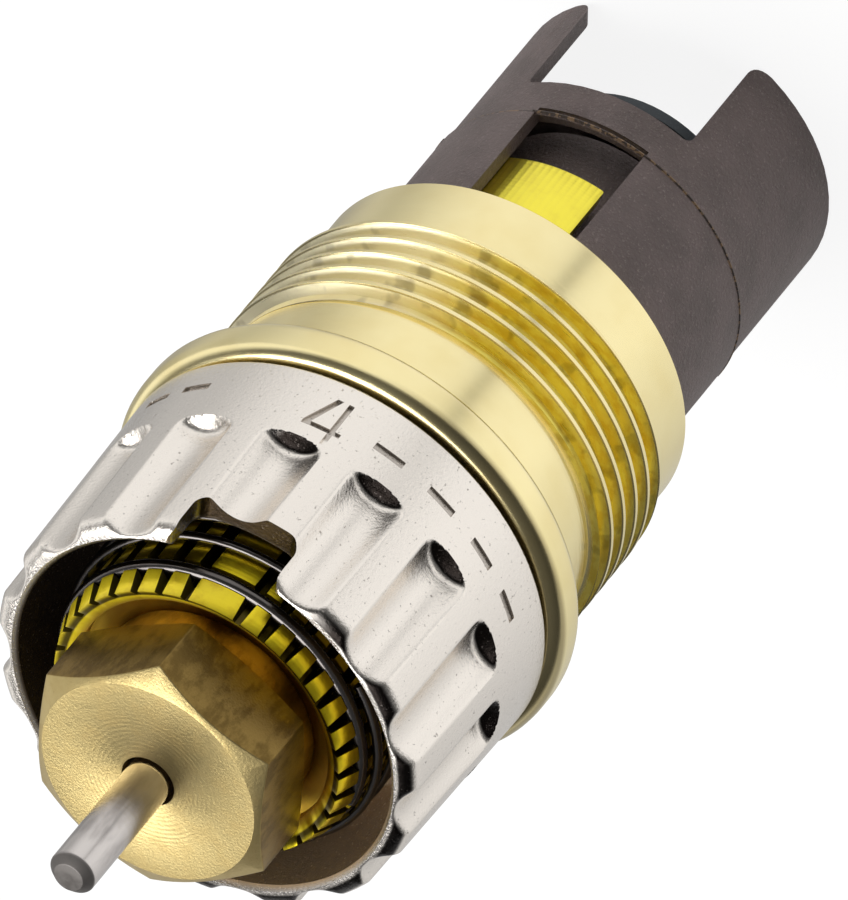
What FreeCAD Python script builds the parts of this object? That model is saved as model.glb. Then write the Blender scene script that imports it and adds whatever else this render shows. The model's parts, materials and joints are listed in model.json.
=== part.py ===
"""Radiator valve insert with a presetting ring.

It stands on the ends of its cage's two prongs, with the pressure pin up along +Z.
All sizes are in millimetres and all angles in degrees, counted from +X towards +Y.
"""
import FreeCAD, Part
import math
import os

# Clearances
running_fit = 0.05
press_fit = 0.01
seal_gap = 0.02

# Valve cage, a brown moulding
cage_foot_step = 0.1
cage_wall = 0.82
prong_length = 5.6
prong_gap_width = 7.35
prong_gap_angle = 297.5
prong_corner = 0.7
gap_corner = 0.35
sill_height = 1.7
seam_offset = 0.3
window_height = 6.9
window_width = 4.95
window_angle = 295.0
cage_insert = 3.3
guide_tube_gap = 0.53
guide_tube_wall = 1.47
guide_tube_drop = 1.1
guide_tube_floor = 4.5
guide_tube_rise = 0.5
rib_thickness = 1.0
rib_height = 3.2
rib_offset = 35.0

# Valve body, turned brass
body_wall = 1.21
thread_depth = 0.56
thread_length = 5.3
band_length = 2.8
lead_chamfer = 0.3
thread_end_chamfer = 0.25
collar_step = 0.06
collar_length = 3.3
collar_fillet = 0.28
bead_step = 1.65
bead_width = 2.13
bead_round = 0.75
neck_wall = 1.2
neck_length = 2.6
body_end_chamfer = 0.25

# Setting cylinder, turned brass
skirt_wall = 0.75
skirt_cover = 4.5
skirt_lobe_angle = 76.0
skirt_edge_angle = 278.5
skirt_corner = 0.4
cylinder_wall = 1.75
cylinder_floor = 2.2
pin_passage_gap = 0.6
gland_thread_radius = 3.9
gland_thread_depth = 4.9
crown_overhang = 0.38
crown_tooth_depth = 0.66
crown_pitches = 34
crown_notch_top = 0.56
crown_notch_bottom = 0.22
crown_key_angle = 292.3
back_row_length = 6.8
clip_groove_play = 0.2
clip_groove_depth = 0.43
front_row_length = 1.0
front_row_taper = 0.38
crown_face_width = 0.75
crown_dish_depth = 0.5
crown_recess_depth = 1.1

# Snap ring and O-ring of the setting cylinder
snap_ring_height = 0.8
snap_ring_rise = 2.6
snap_ring_bite = 0.4
snap_ring_reach = 0.4
snap_ring_play = 0.1
snap_ring_gap_angle = 30.0
snap_ring_gap_centre = 90.0
oring_section = 1.06
oring_groove_play = 0.24
oring_rise = 0.1

# Setting ring, nickel plated
ring_lift = 0.24
ring_height = 10.46
ring_taper = 0.25
ring_wall = 1.05
ring_spring_room = 1.62
ring_round = 0.45
ring_mouth_chamfer = 0.2
ring_flange_thickness = 1.4
flute_count = 15
flute_radius = 1.75
flute_depth = 0.62
flute_length = 6.9
flute_angle = 295.6
rim_notch_width = 4.6
rim_notch_depth = 2.2
rim_notch_angle = 292.0
rim_notch_corner = 0.6

# Springs and clip
clip_wire = 0.6
clip_gap_angle = 24.0
clip_gap_centre = 150.0
ring_spring_wire = 0.42
ring_spring_gap = 0.1
ring_spring_turns = 4
ring_spring_start = 30.0
return_spring_wire = 0.7
return_spring_gap = 0.55
spring_room_play = 0.95
return_spring_turns = 6
return_spring_start = 0.0
coil_steps = 24
wire_sides = 8

# Gland
gland_flats = 10.0
gland_hex_angle = 56.0
gland_hex_height = 3.7
gland_face_margin = 0.23
gland_chamfer_slope = 30.0
gland_neck_step = 0.81
gland_neck_height = 1.3
gland_hole_gap = 0.16
gland_hole_depth = 1.6
gland_chamber_gap = 1.0
gland_seal_height = 1.2
gland_plug_height = 1.4
gland_rim_seal_section = 0.76

# Stem
pin_radius = 1.0
pin_protrusion = 6.4
pin_chamfer = 0.35
stem_travel = 1.5
stem_floor_gap = 0.1
spindle_radius = 1.5
cap_gap = 0.4
cap_thickness = 0.8
cap_hub_wall = 0.9
cap_hub_length = 1.4
washer_thickness = 0.5
washer_margin = 0.77
washer_play = 0.15
washer_head_room = 0.3
cone_face_height = 2.1
cone_face_radius = 3.8
cone_slope_width = 0.8
cone_slope_height = 0.7
cone_thickness = 1.2
cone_recess_radius = 2.6
cone_recess_depth = 0.6
seal_washer_thickness = 0.35
holder_margin = 0.4
holder_hub_height = 0.9
holder_plate_gap = 1.1
holder_plate_thickness = 1.0
nut_wall = 0.7

# Radii, from the stem outwards
cap_hub_radius = spindle_radius + cap_hub_wall
return_spring_radius = cap_hub_radius + return_spring_gap + return_spring_wire / 2
spring_room_radius = return_spring_radius + return_spring_wire / 2 + spring_room_play
cap_radius = spring_room_radius - cap_gap
cylinder_radius = spring_room_radius + cylinder_wall
skirt_inner_radius = cylinder_radius - skirt_wall
guide_tube_radius = skirt_inner_radius - guide_tube_gap
guide_tube_core = guide_tube_radius - guide_tube_wall
cage_inner_radius = cylinder_radius + running_fit
cage_radius = cage_inner_radius + cage_wall
washer_radius = guide_tube_radius - washer_margin
cage_seat_radius = cage_radius + press_fit
band_radius = cage_seat_radius + body_wall
thread_radius = band_radius + thread_depth
collar_radius = band_radius + collar_step
bead_radius = collar_radius + bead_step
body_bore_radius = cage_inner_radius
neck_radius = body_bore_radius + neck_wall
crown_radius = body_bore_radius + crown_overhang
crown_root_radius = crown_radius - crown_tooth_depth
clip_groove_radius = crown_radius - clip_groove_depth
crown_dish_radius = crown_radius - front_row_taper - crown_face_width
ring_bore_radius = crown_radius + ring_spring_room
ring_rim_radius = ring_bore_radius + ring_wall
ring_base_radius = ring_rim_radius + ring_taper
ring_spring_radius = crown_radius + ring_spring_gap + ring_spring_wire / 2
gland_neck_radius = gland_thread_radius + gland_neck_step
gland_face_radius = gland_flats / 2 - gland_face_margin
pin_guide_radius = pin_radius + running_fit
gland_hole_radius = pin_radius + gland_hole_gap
gland_chamber_radius = pin_radius + gland_chamber_gap
gland_seal_section = gland_chamber_gap - 2 * seal_gap
pin_passage_radius = pin_radius + pin_passage_gap
cone_rim_radius = cone_face_radius + cone_slope_width
holder_hub_radius = cone_rim_radius - holder_margin
holder_plate_radius = cage_inner_radius - holder_plate_gap
stem_bore_radius = spindle_radius + press_fit

# Heights along the axis, from the prong ends up
gap_rim_z = prong_length
window_low_z = gap_rim_z + sill_height
seam_z = window_low_z + seam_offset
body_end_z = window_low_z + window_height
cage_top_z = body_end_z + cage_insert
guide_tube_low_z = window_low_z - guide_tube_drop
guide_tube_top_z = cage_top_z + guide_tube_rise
thread_low_z = body_end_z + band_length
thread_high_z = thread_low_z + lead_chamfer + thread_length
collar_high_z = thread_high_z + collar_length
bead_high_z = collar_high_z + bead_width
neck_top_z = bead_high_z + neck_length
clip_groove_z = neck_top_z + back_row_length
front_row_z = clip_groove_z + clip_wire + clip_groove_play
crown_top_z = front_row_z + front_row_length
recess_z = crown_top_z - crown_recess_depth
gland_thread_low_z = recess_z - gland_thread_depth
cylinder_floor_z = gland_thread_low_z - cylinder_floor
skirt_end_z = body_end_z - skirt_cover
spring_room_z = guide_tube_top_z + washer_thickness + washer_head_room
gland_hex_low_z = recess_z + gland_neck_height
gland_top_z = gland_hex_low_z + gland_hex_height
pin_tip_z = gland_top_z + pin_protrusion
spindle_top_z = cylinder_floor_z
cap_low_z = spindle_top_z - cap_thickness
ring_low_z = bead_high_z + ring_lift
ring_top_z = ring_low_z + ring_height
ring_flange_top_z = neck_top_z + ring_flange_thickness
cone_top_z = cone_face_height + cone_thickness
cone_recess_z = cone_face_height + cone_recess_depth
seal_washer_z = cone_recess_z - seal_washer_thickness
snap_ring_z = cage_top_z + snap_ring_rise
cylinder_seal_z = collar_high_z + oring_rise
oring_groove_top_z = cylinder_seal_z + oring_section + oring_groove_play
spindle_end_z = stem_travel + stem_floor_gap

AXIS = FreeCAD.Vector(0, 0, 1)
ORIGIN = FreeCAD.Vector(0, 0, 0)


def polar(radius, angle, height=0.0):
    """Point at a radius and an angle about the axis."""
    turn = math.radians(angle)
    return FreeCAD.Vector(radius * math.cos(turn), radius * math.sin(turn), height)


def turned(profile):
    """Solid of revolution from (radius, height) points."""
    points = [FreeCAD.Vector(radius, 0, height) for radius, height in profile]
    face = Part.Face(Part.makePolygon(points + points[:1]))
    return face.revolve(ORIGIN, AXIS, 360)


def sleeve(outer, inner, low, high):
    """Plain round tube, or a disc where the inner radius is zero."""
    return turned([(inner, low), (outer, low), (outer, high), (inner, high)])


def sector(outer, low, high, start, sweep):
    """Slice of a cylinder from a start angle through a sweep."""
    slice_solid = Part.makeCylinder(outer, high - low, FreeCAD.Vector(0, 0, low), AXIS, sweep)
    slice_solid.rotate(ORIGIN, AXIS, start)
    return slice_solid


def prism(points, low, high):
    """Upright prism on a closed list of plan points."""
    outline = [FreeCAD.Vector(point.x, point.y, low) for point in points]
    face = Part.Face(Part.makePolygon(outline + outline[:1]))
    return face.extrude(FreeCAD.Vector(0, 0, high - low))


def slot_block(width, low, high, near, far, angle):
    """Block that points outwards at an angle, for slots and windows."""
    block = Part.makeBox(far - near, width, high - low, FreeCAD.Vector(near, -width / 2, low))
    block.rotate(ORIGIN, AXIS, angle)
    return block


def torus(section, centre_radius, height):
    """Round ring of wire or rubber."""
    return Part.makeTorus(centre_radius, section / 2, FreeCAD.Vector(0, 0, height), AXIS)


def open_ring(ring, reach, height, gap_centre, gap_angle, depth):
    """Cut a gap in a ring, so that it can spring open."""
    gap = sector(reach, height - depth, height + depth, gap_centre - gap_angle / 2, gap_angle)
    return ring.cut(gap)


def coil(wire, centre_radius, low, high, turns, start_angle):
    """Compression spring that fills the height between two seats."""
    steps = turns * coil_steps
    rise = high - low - wire
    sections = []
    for step in range(steps + 1):
        angle = start_angle + 360.0 * step / coil_steps
        height = low + wire / 2 + rise * step / steps
        outline = []
        for side in range(wire_sides + 1):
            turn = 2 * math.pi * side / wire_sides
            reach = centre_radius + wire / 2 * math.cos(turn)
            outline.append(polar(reach, angle, height + wire / 2 * math.sin(turn)))
        sections.append(Part.makePolygon(outline))
    return Part.makeLoft(sections, True, True)


def is_ring_edge(edge, radius, height):
    """True for a circular edge of this radius and height."""
    curve = edge.Curve
    if not isinstance(curve, Part.Circle):
        return False
    same_height = abs(curve.Center.z - height) < 1e-6
    return same_height and abs(curve.Radius - radius) < 1e-6


def round_rings(shape, places, radius):
    """Fillet the circular edges at the given (radius, height) places."""
    edges = [edge for edge in shape.Edges if any(is_ring_edge(edge, *place) for place in places)]
    return shape.makeFillet(radius, edges)


def crown_outline(clearance):
    """Plan of the crown: straight notches, with one wide key tooth."""
    pitch = 360.0 / crown_pitches
    tip = crown_radius + clearance
    root = crown_root_radius + clearance
    half_top = math.degrees((crown_notch_top / 2 - clearance) / crown_radius)
    half_bottom = math.degrees((crown_notch_bottom / 2 - clearance) / crown_root_radius)
    points = []
    for number in range(1, crown_pitches):
        centre = crown_key_angle + number * pitch
        points.append(polar(tip, centre - half_top))
        points.append(polar(root, centre - half_bottom))
        points.append(polar(root, centre + half_bottom))
        points.append(polar(tip, centre + half_top))
    for step in (-0.5, 0.0, 0.5):
        points.append(polar(tip, crown_key_angle + step * pitch))
    return points


def make_valve_body():
    profile = [
        (cage_seat_radius, body_end_z), (band_radius - body_end_chamfer, body_end_z),
        (band_radius, body_end_z + body_end_chamfer), (band_radius, thread_low_z),
        (thread_radius, thread_low_z + lead_chamfer),
        (thread_radius, thread_high_z - thread_end_chamfer),
        (collar_radius, thread_high_z), (collar_radius, collar_high_z),
        (bead_radius, collar_high_z), (bead_radius, bead_high_z),
        (neck_radius, bead_high_z), (neck_radius, neck_top_z),
        (body_bore_radius, neck_top_z), (body_bore_radius, cage_top_z),
        (cage_seat_radius, cage_top_z),
    ]
    body = turned(profile)
    body = round_rings(body, [(bead_radius, collar_high_z), (bead_radius, bead_high_z)], bead_round)
    body = round_rings(body, [(collar_radius, collar_high_z)], collar_fillet)
    groove = sleeve(body_bore_radius + snap_ring_reach + snap_ring_play, cylinder_radius,
                    snap_ring_z - snap_ring_play, snap_ring_z + snap_ring_height + snap_ring_play)
    return body.cut(groove)


def make_valve_cage():
    foot_radius = cage_radius - cage_foot_step
    shell = turned([
        (cage_inner_radius, 0), (foot_radius, 0), (foot_radius, seam_z), (cage_radius, seam_z),
        (cage_radius, cage_top_z), (cage_inner_radius, cage_top_z),
    ])
    gap = slot_block(prong_gap_width, -1, gap_rim_z, -2 * cage_radius, 2 * cage_radius,
                     prong_gap_angle)
    shell = shell.cut(gap)
    tips = []
    corners = []
    for edge in shell.Edges:
        ends = [vertex.Point for vertex in edge.Vertexes]
        if len(ends) != 2 or abs(ends[0].z - ends[1].z) > 1e-6:
            continue
        across = (ends[0] - ends[1]).Length
        straight = isinstance(edge.Curve, Part.Line)
        if straight and across < 2 * cage_wall and abs(ends[0].z) < 1e-6:
            tips.append(edge)
        if straight and across < 2 * cage_wall and abs(ends[0].z - gap_rim_z) < 1e-6:
            corners.append(edge)
    shell = shell.makeFillet(prong_corner, tips)
    rim_edges = [edge for edge in shell.Edges
                 if any((edge.CenterOfMass - corner.CenterOfMass).Length < 1e-4 for corner in corners)]
    shell = shell.makeFillet(gap_corner, rim_edges)
    for turn in (0, 180):
        window = slot_block(window_width, window_low_z, body_end_z + cage_insert / 3,
                            guide_tube_radius, 2 * cage_radius, window_angle + turn)
        shell = shell.cut(window)
    floor_z = guide_tube_top_z - guide_tube_floor
    tube = turned([
        (guide_tube_core, guide_tube_low_z), (guide_tube_radius, guide_tube_low_z),
        (guide_tube_radius, guide_tube_top_z), (spindle_radius + running_fit, guide_tube_top_z),
        (spindle_radius + running_fit, floor_z), (guide_tube_core, floor_z),
    ])
    rib_top_z = guide_tube_low_z + rib_height
    middle = (guide_tube_core + guide_tube_radius) / 2
    ribs = []
    for side in (90, 270):
        for offset in (-rib_offset, rib_offset):
            rib = slot_block(rib_thickness, guide_tube_low_z, rib_top_z, middle,
                             cage_inner_radius + cage_wall / 2, prong_gap_angle + side + offset)
            ribs.append(rib)
    return shell.multiFuse([tube] + ribs).removeSplitter()


def make_setting_cylinder():
    groove = cylinder_radius - snap_ring_bite
    seal_groove = body_bore_radius - oring_section - 2 * seal_gap
    profile = [
        (skirt_inner_radius, skirt_end_z), (cylinder_radius, skirt_end_z),
        (cylinder_radius, snap_ring_z), (groove, snap_ring_z),
        (groove, snap_ring_z + snap_ring_height), (cylinder_radius, snap_ring_z + snap_ring_height),
        (cylinder_radius, cylinder_seal_z), (seal_groove, cylinder_seal_z),
        (seal_groove, oring_groove_top_z), (cylinder_radius, oring_groove_top_z),
        (cylinder_radius, neck_top_z), (crown_radius, neck_top_z),
        (crown_radius, clip_groove_z), (clip_groove_radius, clip_groove_z),
        (clip_groove_radius, front_row_z), (crown_radius, front_row_z),
        (crown_radius - front_row_taper, crown_top_z),
        (crown_dish_radius, crown_top_z - crown_dish_depth), (crown_dish_radius, recess_z),
        (gland_thread_radius, recess_z), (gland_thread_radius, gland_thread_low_z),
        (pin_passage_radius, gland_thread_low_z), (pin_passage_radius, cylinder_floor_z),
        (spring_room_radius, cylinder_floor_z), (spring_room_radius, spring_room_z),
        (skirt_inner_radius, spring_room_z),
    ]
    cylinder = turned(profile)
    blank = sleeve(crown_radius + 1, 0, neck_top_z, crown_top_z + 1)
    cylinder = cylinder.cut(blank.cut(prism(crown_outline(0), neck_top_z, crown_top_z + 1)))
    gap_angle = 180 - skirt_lobe_angle
    gap_top_z = body_end_z + cage_insert / 3
    core = sleeve(skirt_inner_radius / 2, 0, skirt_end_z - 1, gap_top_z)
    for turn in (0, 180):
        start = skirt_edge_angle - gap_angle + turn
        opening = sector(2 * cylinder_radius, skirt_end_z - 1, gap_top_z, start, gap_angle)
        cylinder = cylinder.cut(opening.cut(core))
    corners = []
    for edge in cylinder.Edges:
        ends = [vertex.Point for vertex in edge.Vertexes]
        flat = len(ends) == 2 and all(abs(end.z - skirt_end_z) < 1e-6 for end in ends)
        if flat and isinstance(edge.Curve, Part.Line):
            corners.append(edge)
    return cylinder.makeFillet(skirt_corner, corners)


def make_cylinder_oring():
    outer = body_bore_radius - seal_gap
    height = (cylinder_seal_z + oring_groove_top_z) / 2
    return torus(oring_section, outer - oring_section / 2, height)


def make_snap_ring():
    inner = cylinder_radius - snap_ring_bite + seal_gap
    outer = body_bore_radius + snap_ring_reach
    low = snap_ring_z + seal_gap
    high = snap_ring_z + snap_ring_height - seal_gap
    return open_ring(sleeve(outer, inner, low, high), 2 * outer, snap_ring_z,
                     snap_ring_gap_centre, snap_ring_gap_angle, 2 * snap_ring_height)


def make_setting_ring():
    rim_z = ring_top_z
    profile = [
        (ring_bore_radius, ring_low_z), (ring_base_radius, ring_low_z),
        (ring_rim_radius, rim_z), (ring_bore_radius + ring_mouth_chamfer, rim_z),
        (ring_bore_radius, rim_z - ring_mouth_chamfer), (ring_bore_radius, ring_flange_top_z),
        (crown_root_radius, ring_flange_top_z), (crown_root_radius, neck_top_z),
        (ring_bore_radius, neck_top_z),
    ]
    ring = turned(profile)
    ring = round_rings(ring, [(ring_rim_radius, rim_z)], ring_round)
    spline = prism(crown_outline(running_fit), neck_top_z - 1, ring_flange_top_z + 1)
    ring = ring.cut(spline)
    flute_axis = ring_rim_radius - flute_depth + flute_radius
    for number in range(flute_count):
        angle = flute_angle + number * 360.0 / flute_count
        place = polar(flute_axis, angle, rim_z - flute_length)
        ring = ring.cut(Part.makeCylinder(flute_radius, 2 * flute_length, place, AXIS))
    notch = slot_block(rim_notch_width, rim_z - rim_notch_depth, rim_z + rim_notch_depth,
                       crown_radius, 2 * ring_base_radius, rim_notch_angle)
    length = 2 * ring_base_radius - crown_radius
    low_edges = [edge for edge in notch.Edges
                 if abs(edge.CenterOfMass.z - rim_z + rim_notch_depth) < 1e-6
                 and abs(edge.Length - length) < 1e-6]
    return ring.cut(notch.makeFillet(rim_notch_corner, low_edges))


def make_retaining_clip():
    height = front_row_z - clip_wire / 2 - seal_gap
    ring = torus(clip_wire, clip_groove_radius + press_fit + clip_wire / 2, height)
    return open_ring(ring, 2 * crown_radius, height, clip_gap_centre, clip_gap_angle, clip_wire)


def make_ring_spring():
    clip_low_z = front_row_z - clip_wire - seal_gap
    return coil(ring_spring_wire, ring_spring_radius, ring_flange_top_z + seal_gap,
                clip_low_z - seal_gap, ring_spring_turns, ring_spring_start)


def make_gland_nut():
    corner_radius = gland_flats / math.sqrt(3)
    corners = [polar(corner_radius, gland_hex_angle + 60 * number) for number in range(6)]
    hexagon = prism(corners, gland_hex_low_z, gland_top_z)
    slope = math.tan(math.radians(gland_chamfer_slope))
    drop = (corner_radius - gland_face_radius) * slope
    envelope = turned([
        (0, gland_hex_low_z), (gland_face_radius, gland_hex_low_z),
        (corner_radius, gland_hex_low_z + drop / 2), (corner_radius, gland_top_z - drop),
        (gland_face_radius, gland_top_z), (0, gland_top_z),
    ])
    head = hexagon.common(envelope)
    shank = gland_thread_radius - running_fit
    seal_groove = shank - gland_rim_seal_section - seal_gap
    seal_groove_z = recess_z - gland_rim_seal_section - 3 * seal_gap
    stem = turned([
        (0, gland_thread_low_z + seal_gap), (shank, gland_thread_low_z + seal_gap),
        (shank, seal_groove_z), (seal_groove, seal_groove_z), (seal_groove, recess_z),
        (gland_neck_radius, recess_z), (gland_neck_radius, gland_hex_low_z),
        (0, gland_hex_low_z),
    ])
    chamber_top_z = gland_thread_low_z + gland_plug_height + gland_seal_height
    guide = sleeve(pin_guide_radius, 0, gland_thread_low_z - 1, gland_top_z + 1)
    chamber = sleeve(gland_chamber_radius, 0, gland_thread_low_z - 1, chamber_top_z)
    mouth = sleeve(gland_hole_radius, 0, gland_top_z - gland_hole_depth, gland_top_z + 1)
    return head.fuse(stem).cut(guide).cut(chamber).cut(mouth).removeSplitter()


def make_gland_plug():
    return sleeve(gland_chamber_radius - press_fit, pin_guide_radius,
                  gland_thread_low_z + seal_gap, gland_thread_low_z + gland_plug_height)


def make_gland_inner_oring():
    centre = (gland_chamber_radius + pin_radius) / 2
    height = gland_thread_low_z + gland_plug_height + gland_seal_height / 2
    return torus(gland_seal_section, centre, height)


def make_gland_outer_oring():
    outer = gland_thread_radius - seal_gap / 2
    height = recess_z - gland_rim_seal_section / 2 - 2 * seal_gap
    return torus(gland_rim_seal_section, outer - gland_rim_seal_section / 2, height)


def make_pressure_pin():
    return turned([
        (0, spindle_top_z), (pin_radius, spindle_top_z), (pin_radius, pin_tip_z - pin_chamfer),
        (pin_radius - pin_chamfer, pin_tip_z), (0, pin_tip_z),
    ])


def make_spindle():
    return sleeve(spindle_radius, 0, spindle_end_z, spindle_top_z)


def make_spring_cap():
    hub_low_z = cap_low_z - cap_hub_length
    return turned([
        (stem_bore_radius, hub_low_z), (cap_hub_radius, hub_low_z), (cap_hub_radius, cap_low_z),
        (cap_radius, cap_low_z), (cap_radius, spindle_top_z), (stem_bore_radius, spindle_top_z),
    ])


def make_spring_seat():
    return sleeve(washer_radius, spindle_radius + washer_play, guide_tube_top_z,
                  guide_tube_top_z + washer_thickness)


def make_return_spring():
    return coil(return_spring_wire, return_spring_radius,
                guide_tube_top_z + washer_thickness + seal_gap, cap_low_z - seal_gap,
                return_spring_turns, return_spring_start)


def make_cone_seal():
    return turned([
        (stem_bore_radius, cone_recess_z), (cone_recess_radius, cone_recess_z),
        (cone_recess_radius, cone_face_height), (cone_face_radius, cone_face_height),
        (cone_rim_radius, cone_face_height + cone_slope_height), (cone_rim_radius, cone_top_z),
        (stem_bore_radius, cone_top_z),
    ])


def make_cone_holder():
    plate_z = cone_top_z + holder_hub_height
    return turned([
        (stem_bore_radius, cone_top_z), (holder_hub_radius, cone_top_z),
        (holder_hub_radius, plate_z), (holder_plate_radius, plate_z),
        (holder_plate_radius, plate_z + holder_plate_thickness),
        (stem_bore_radius, plate_z + holder_plate_thickness),
    ])


def make_seal_washer():
    return sleeve(cone_recess_radius - running_fit, stem_bore_radius, seal_washer_z, cone_recess_z)


def make_spindle_nut():
    corners = [polar(spindle_radius + nut_wall, 60 * number) for number in range(6)]
    nut = prism(corners, spindle_end_z, seal_washer_z)
    return nut.cut(sleeve(stem_bore_radius, 0, spindle_end_z - 1, seal_washer_z + 1))


PIECES = {
    "valve_body": make_valve_body,
    "valve_cage": make_valve_cage,
    "spring_seat": make_spring_seat,
    "return_spring": make_return_spring,
    "setting_cylinder": make_setting_cylinder,
    "cylinder_oring": make_cylinder_oring,
    "snap_ring": make_snap_ring,
    "gland_nut": make_gland_nut,
    "gland_plug": make_gland_plug,
    "gland_inner_oring": make_gland_inner_oring,
    "gland_outer_oring": make_gland_outer_oring,
    "retaining_clip": make_retaining_clip,
    "ring_spring": make_ring_spring,
    "setting_ring": make_setting_ring,
    "pressure_pin": make_pressure_pin,
    "spindle": make_spindle,
    "spring_cap": make_spring_cap,
    "cone_holder": make_cone_holder,
    "cone_seal": make_cone_seal,
    "seal_washer": make_seal_washer,
    "spindle_nut": make_spindle_nut,
}

os.makedirs("parts", exist_ok=True)
for name, make in PIECES.items():
    make().exportStep("parts/" + name + ".step")
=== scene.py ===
"""Radiator valve insert with a presetting ring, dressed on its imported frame.

It stands on its cage's two prongs with the pressure pin up along +Z, as the frame does.
Drawing sizes here are in millimetres and are turned into metres where a mesh is made.
"""
import json
import math
from types import SimpleNamespace

import bpy
from mathutils import Matrix, Vector

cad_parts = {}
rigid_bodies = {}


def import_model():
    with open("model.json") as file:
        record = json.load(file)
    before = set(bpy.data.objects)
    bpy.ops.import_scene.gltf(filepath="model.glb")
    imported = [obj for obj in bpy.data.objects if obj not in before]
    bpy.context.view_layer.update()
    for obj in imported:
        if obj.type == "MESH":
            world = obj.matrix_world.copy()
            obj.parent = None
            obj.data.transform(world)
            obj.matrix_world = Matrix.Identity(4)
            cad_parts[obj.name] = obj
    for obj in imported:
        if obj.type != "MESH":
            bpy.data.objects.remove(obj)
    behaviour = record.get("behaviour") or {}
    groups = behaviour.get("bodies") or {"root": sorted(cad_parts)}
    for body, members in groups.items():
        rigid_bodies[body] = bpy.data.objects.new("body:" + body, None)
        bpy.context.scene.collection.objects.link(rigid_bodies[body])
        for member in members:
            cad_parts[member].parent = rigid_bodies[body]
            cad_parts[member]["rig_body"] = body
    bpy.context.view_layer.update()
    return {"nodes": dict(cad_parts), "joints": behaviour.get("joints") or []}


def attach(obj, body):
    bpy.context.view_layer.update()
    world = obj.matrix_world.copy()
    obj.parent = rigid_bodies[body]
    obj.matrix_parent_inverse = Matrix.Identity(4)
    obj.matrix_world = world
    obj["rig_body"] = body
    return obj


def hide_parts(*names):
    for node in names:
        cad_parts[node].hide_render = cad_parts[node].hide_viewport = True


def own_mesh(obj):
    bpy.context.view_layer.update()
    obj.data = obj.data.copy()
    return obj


bl_info = {
    "name": "Radiator valve insert",
    "version": (1, 0, 0),
    "blender": (4, 5, 0),
    "location": "View3D > Sidebar > Valve insert",
    "description": "Builds the pieces and finishes of a radiator valve insert",
    "category": "Mesh",
}

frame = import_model()

MM = 0.001

PRONG_GAP_ANGLE = 297.5
WINDOW_ANGLE = 295.0
SKIRT_EDGE_ANGLE = 278.5
SKIRT_OPENING = 104.0
RIB_ANGLE = 55.0
CROWN_PITCHES = 34
CROWN_KEY_ANGLE = 292.3
FLUTES = 15
FLUTE_ANGLE = 295.6
RIM_NOTCH_ANGLE = 292.0
GLAND_ANGLE = 56.0
CLIP_GAP_ANGLE = 24.0
CLIP_GAP_CENTRE = 150.0
RING_SPRING_TURNS = 4
RING_SPRING_START = 236.0
RETURN_SPRING_TURNS = 6
THREAD_FLANK = 23.0
CHAMFER_SLOPE = 30.0

# How far a cutting tool reaches past what it cuts, and a radius outside everything
OVERSHOOT = 0.1
FAR_RADIUS = 12.0

BODY_STEPS = 180
CAGE_STEPS = 60
RING_STEPS = 720


def tone(red, green, blue):
    """Scene colour of a red, green and blue that are given from 0 to 255 as on a screen."""
    parts = [value / 255 for value in (red, green, blue)]
    return tuple(part / 12.92 if part <= 0.04045 else ((part + 0.055) / 1.055) ** 2.4
                 for part in parts)


def polar(radius, angle, height=0.0):
    """Point at a radius and an angle in degrees about the axis."""
    turn = math.radians(angle)
    return Vector((radius * math.cos(turn), radius * math.sin(turn), height))


def size(name, description, default):
    """Length property with its default in millimetres."""
    return bpy.props.FloatProperty(name=name, description=description, default=default * MM,
                                   min=0, precision=5, unit="LENGTH")


def in_mm(group):
    """The sizes of a property group in millimetres."""
    return SimpleNamespace(**{name: getattr(group, name) / MM for name in group.__annotations__})


class SharedSizes(bpy.types.PropertyGroup):
    body_end: size("Body end", "Height of the valve body's lower end", 14.2)
    cage_top: size("Cage top", "Height of the cage's end inside the body", 17.5)
    bead_top: size("Bead top", "Height of the bead's upper face", 28.03)
    neck_top: size("Neck top", "Height where the body ends and the crown starts", 30.63)
    crown_top: size("Crown top", "Height of the crown's rim", 39.23)
    groove_low: size("Clip groove", "Height of the clip groove's lower side", 37.43)
    groove_high: size("Clip groove end", "Height of the clip groove's upper side", 38.23)
    recess: size("Recess", "Height of the recess round the gland", 38.13)
    flange_top: size("Flange top", "Height of the setting ring's flange", 32.03)
    bore_radius: size("Bore radius", "Bore of the valve body and of the cage", 6.4)


class BodySizes(bpy.types.PropertyGroup):
    seat_radius: size("Seat radius", "Bore that the cage is pressed into", 7.23)
    band_radius: size("Band radius", "Plain band below the thread", 8.44)
    end_chamfer: size("End chamfer", "Chamfer of the lower end", 0.25)
    thread_low: size("Thread start", "Height where the thread starts", 17.3)
    thread_high: size("Thread end", "Height where the thread ends", 22.6)
    thread_radius: size("Thread radius", "Radius over the thread's crests", 9.0)
    lead: size("Lead", "Chamfer at the start of the thread", 0.3)
    thread_end: size("Thread end chamfer", "Height of the chamfer at the end of the thread", 0.25)
    pitch: size("Pitch", "Rise of the thread in one turn", 1.0)
    root_radius: size("Root radius", "Radius at the bottom of the thread's groove", 8.52)
    root_flat: size("Root flat", "Width of the groove's bottom", 0.42)
    first_groove: size("First groove", "Height of the thread's groove at the +X side", 16.44)
    collar_radius: size("Collar radius", "Smooth collar over the thread", 8.5)
    collar_high: size("Collar end", "Height where the collar meets the bead", 25.9)
    collar_fillet: size("Collar fillet", "Fillet between the collar and the bead", 0.28)
    bead_radius: size("Bead radius", "Radius of the sealing bead", 10.15)
    bead_round: size("Bead rounding", "Rounding of both edges of the bead", 0.75)
    neck_radius: size("Neck radius", "Neck inside the setting ring", 7.6)
    snap_low: size("Snap groove", "Height of the snap ring's groove", 20.0)
    snap_high: size("Snap groove end", "Height of that groove's upper side", 21.0)
    snap_radius: size("Snap groove radius", "Radius at the bottom of that groove", 6.9)


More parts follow.
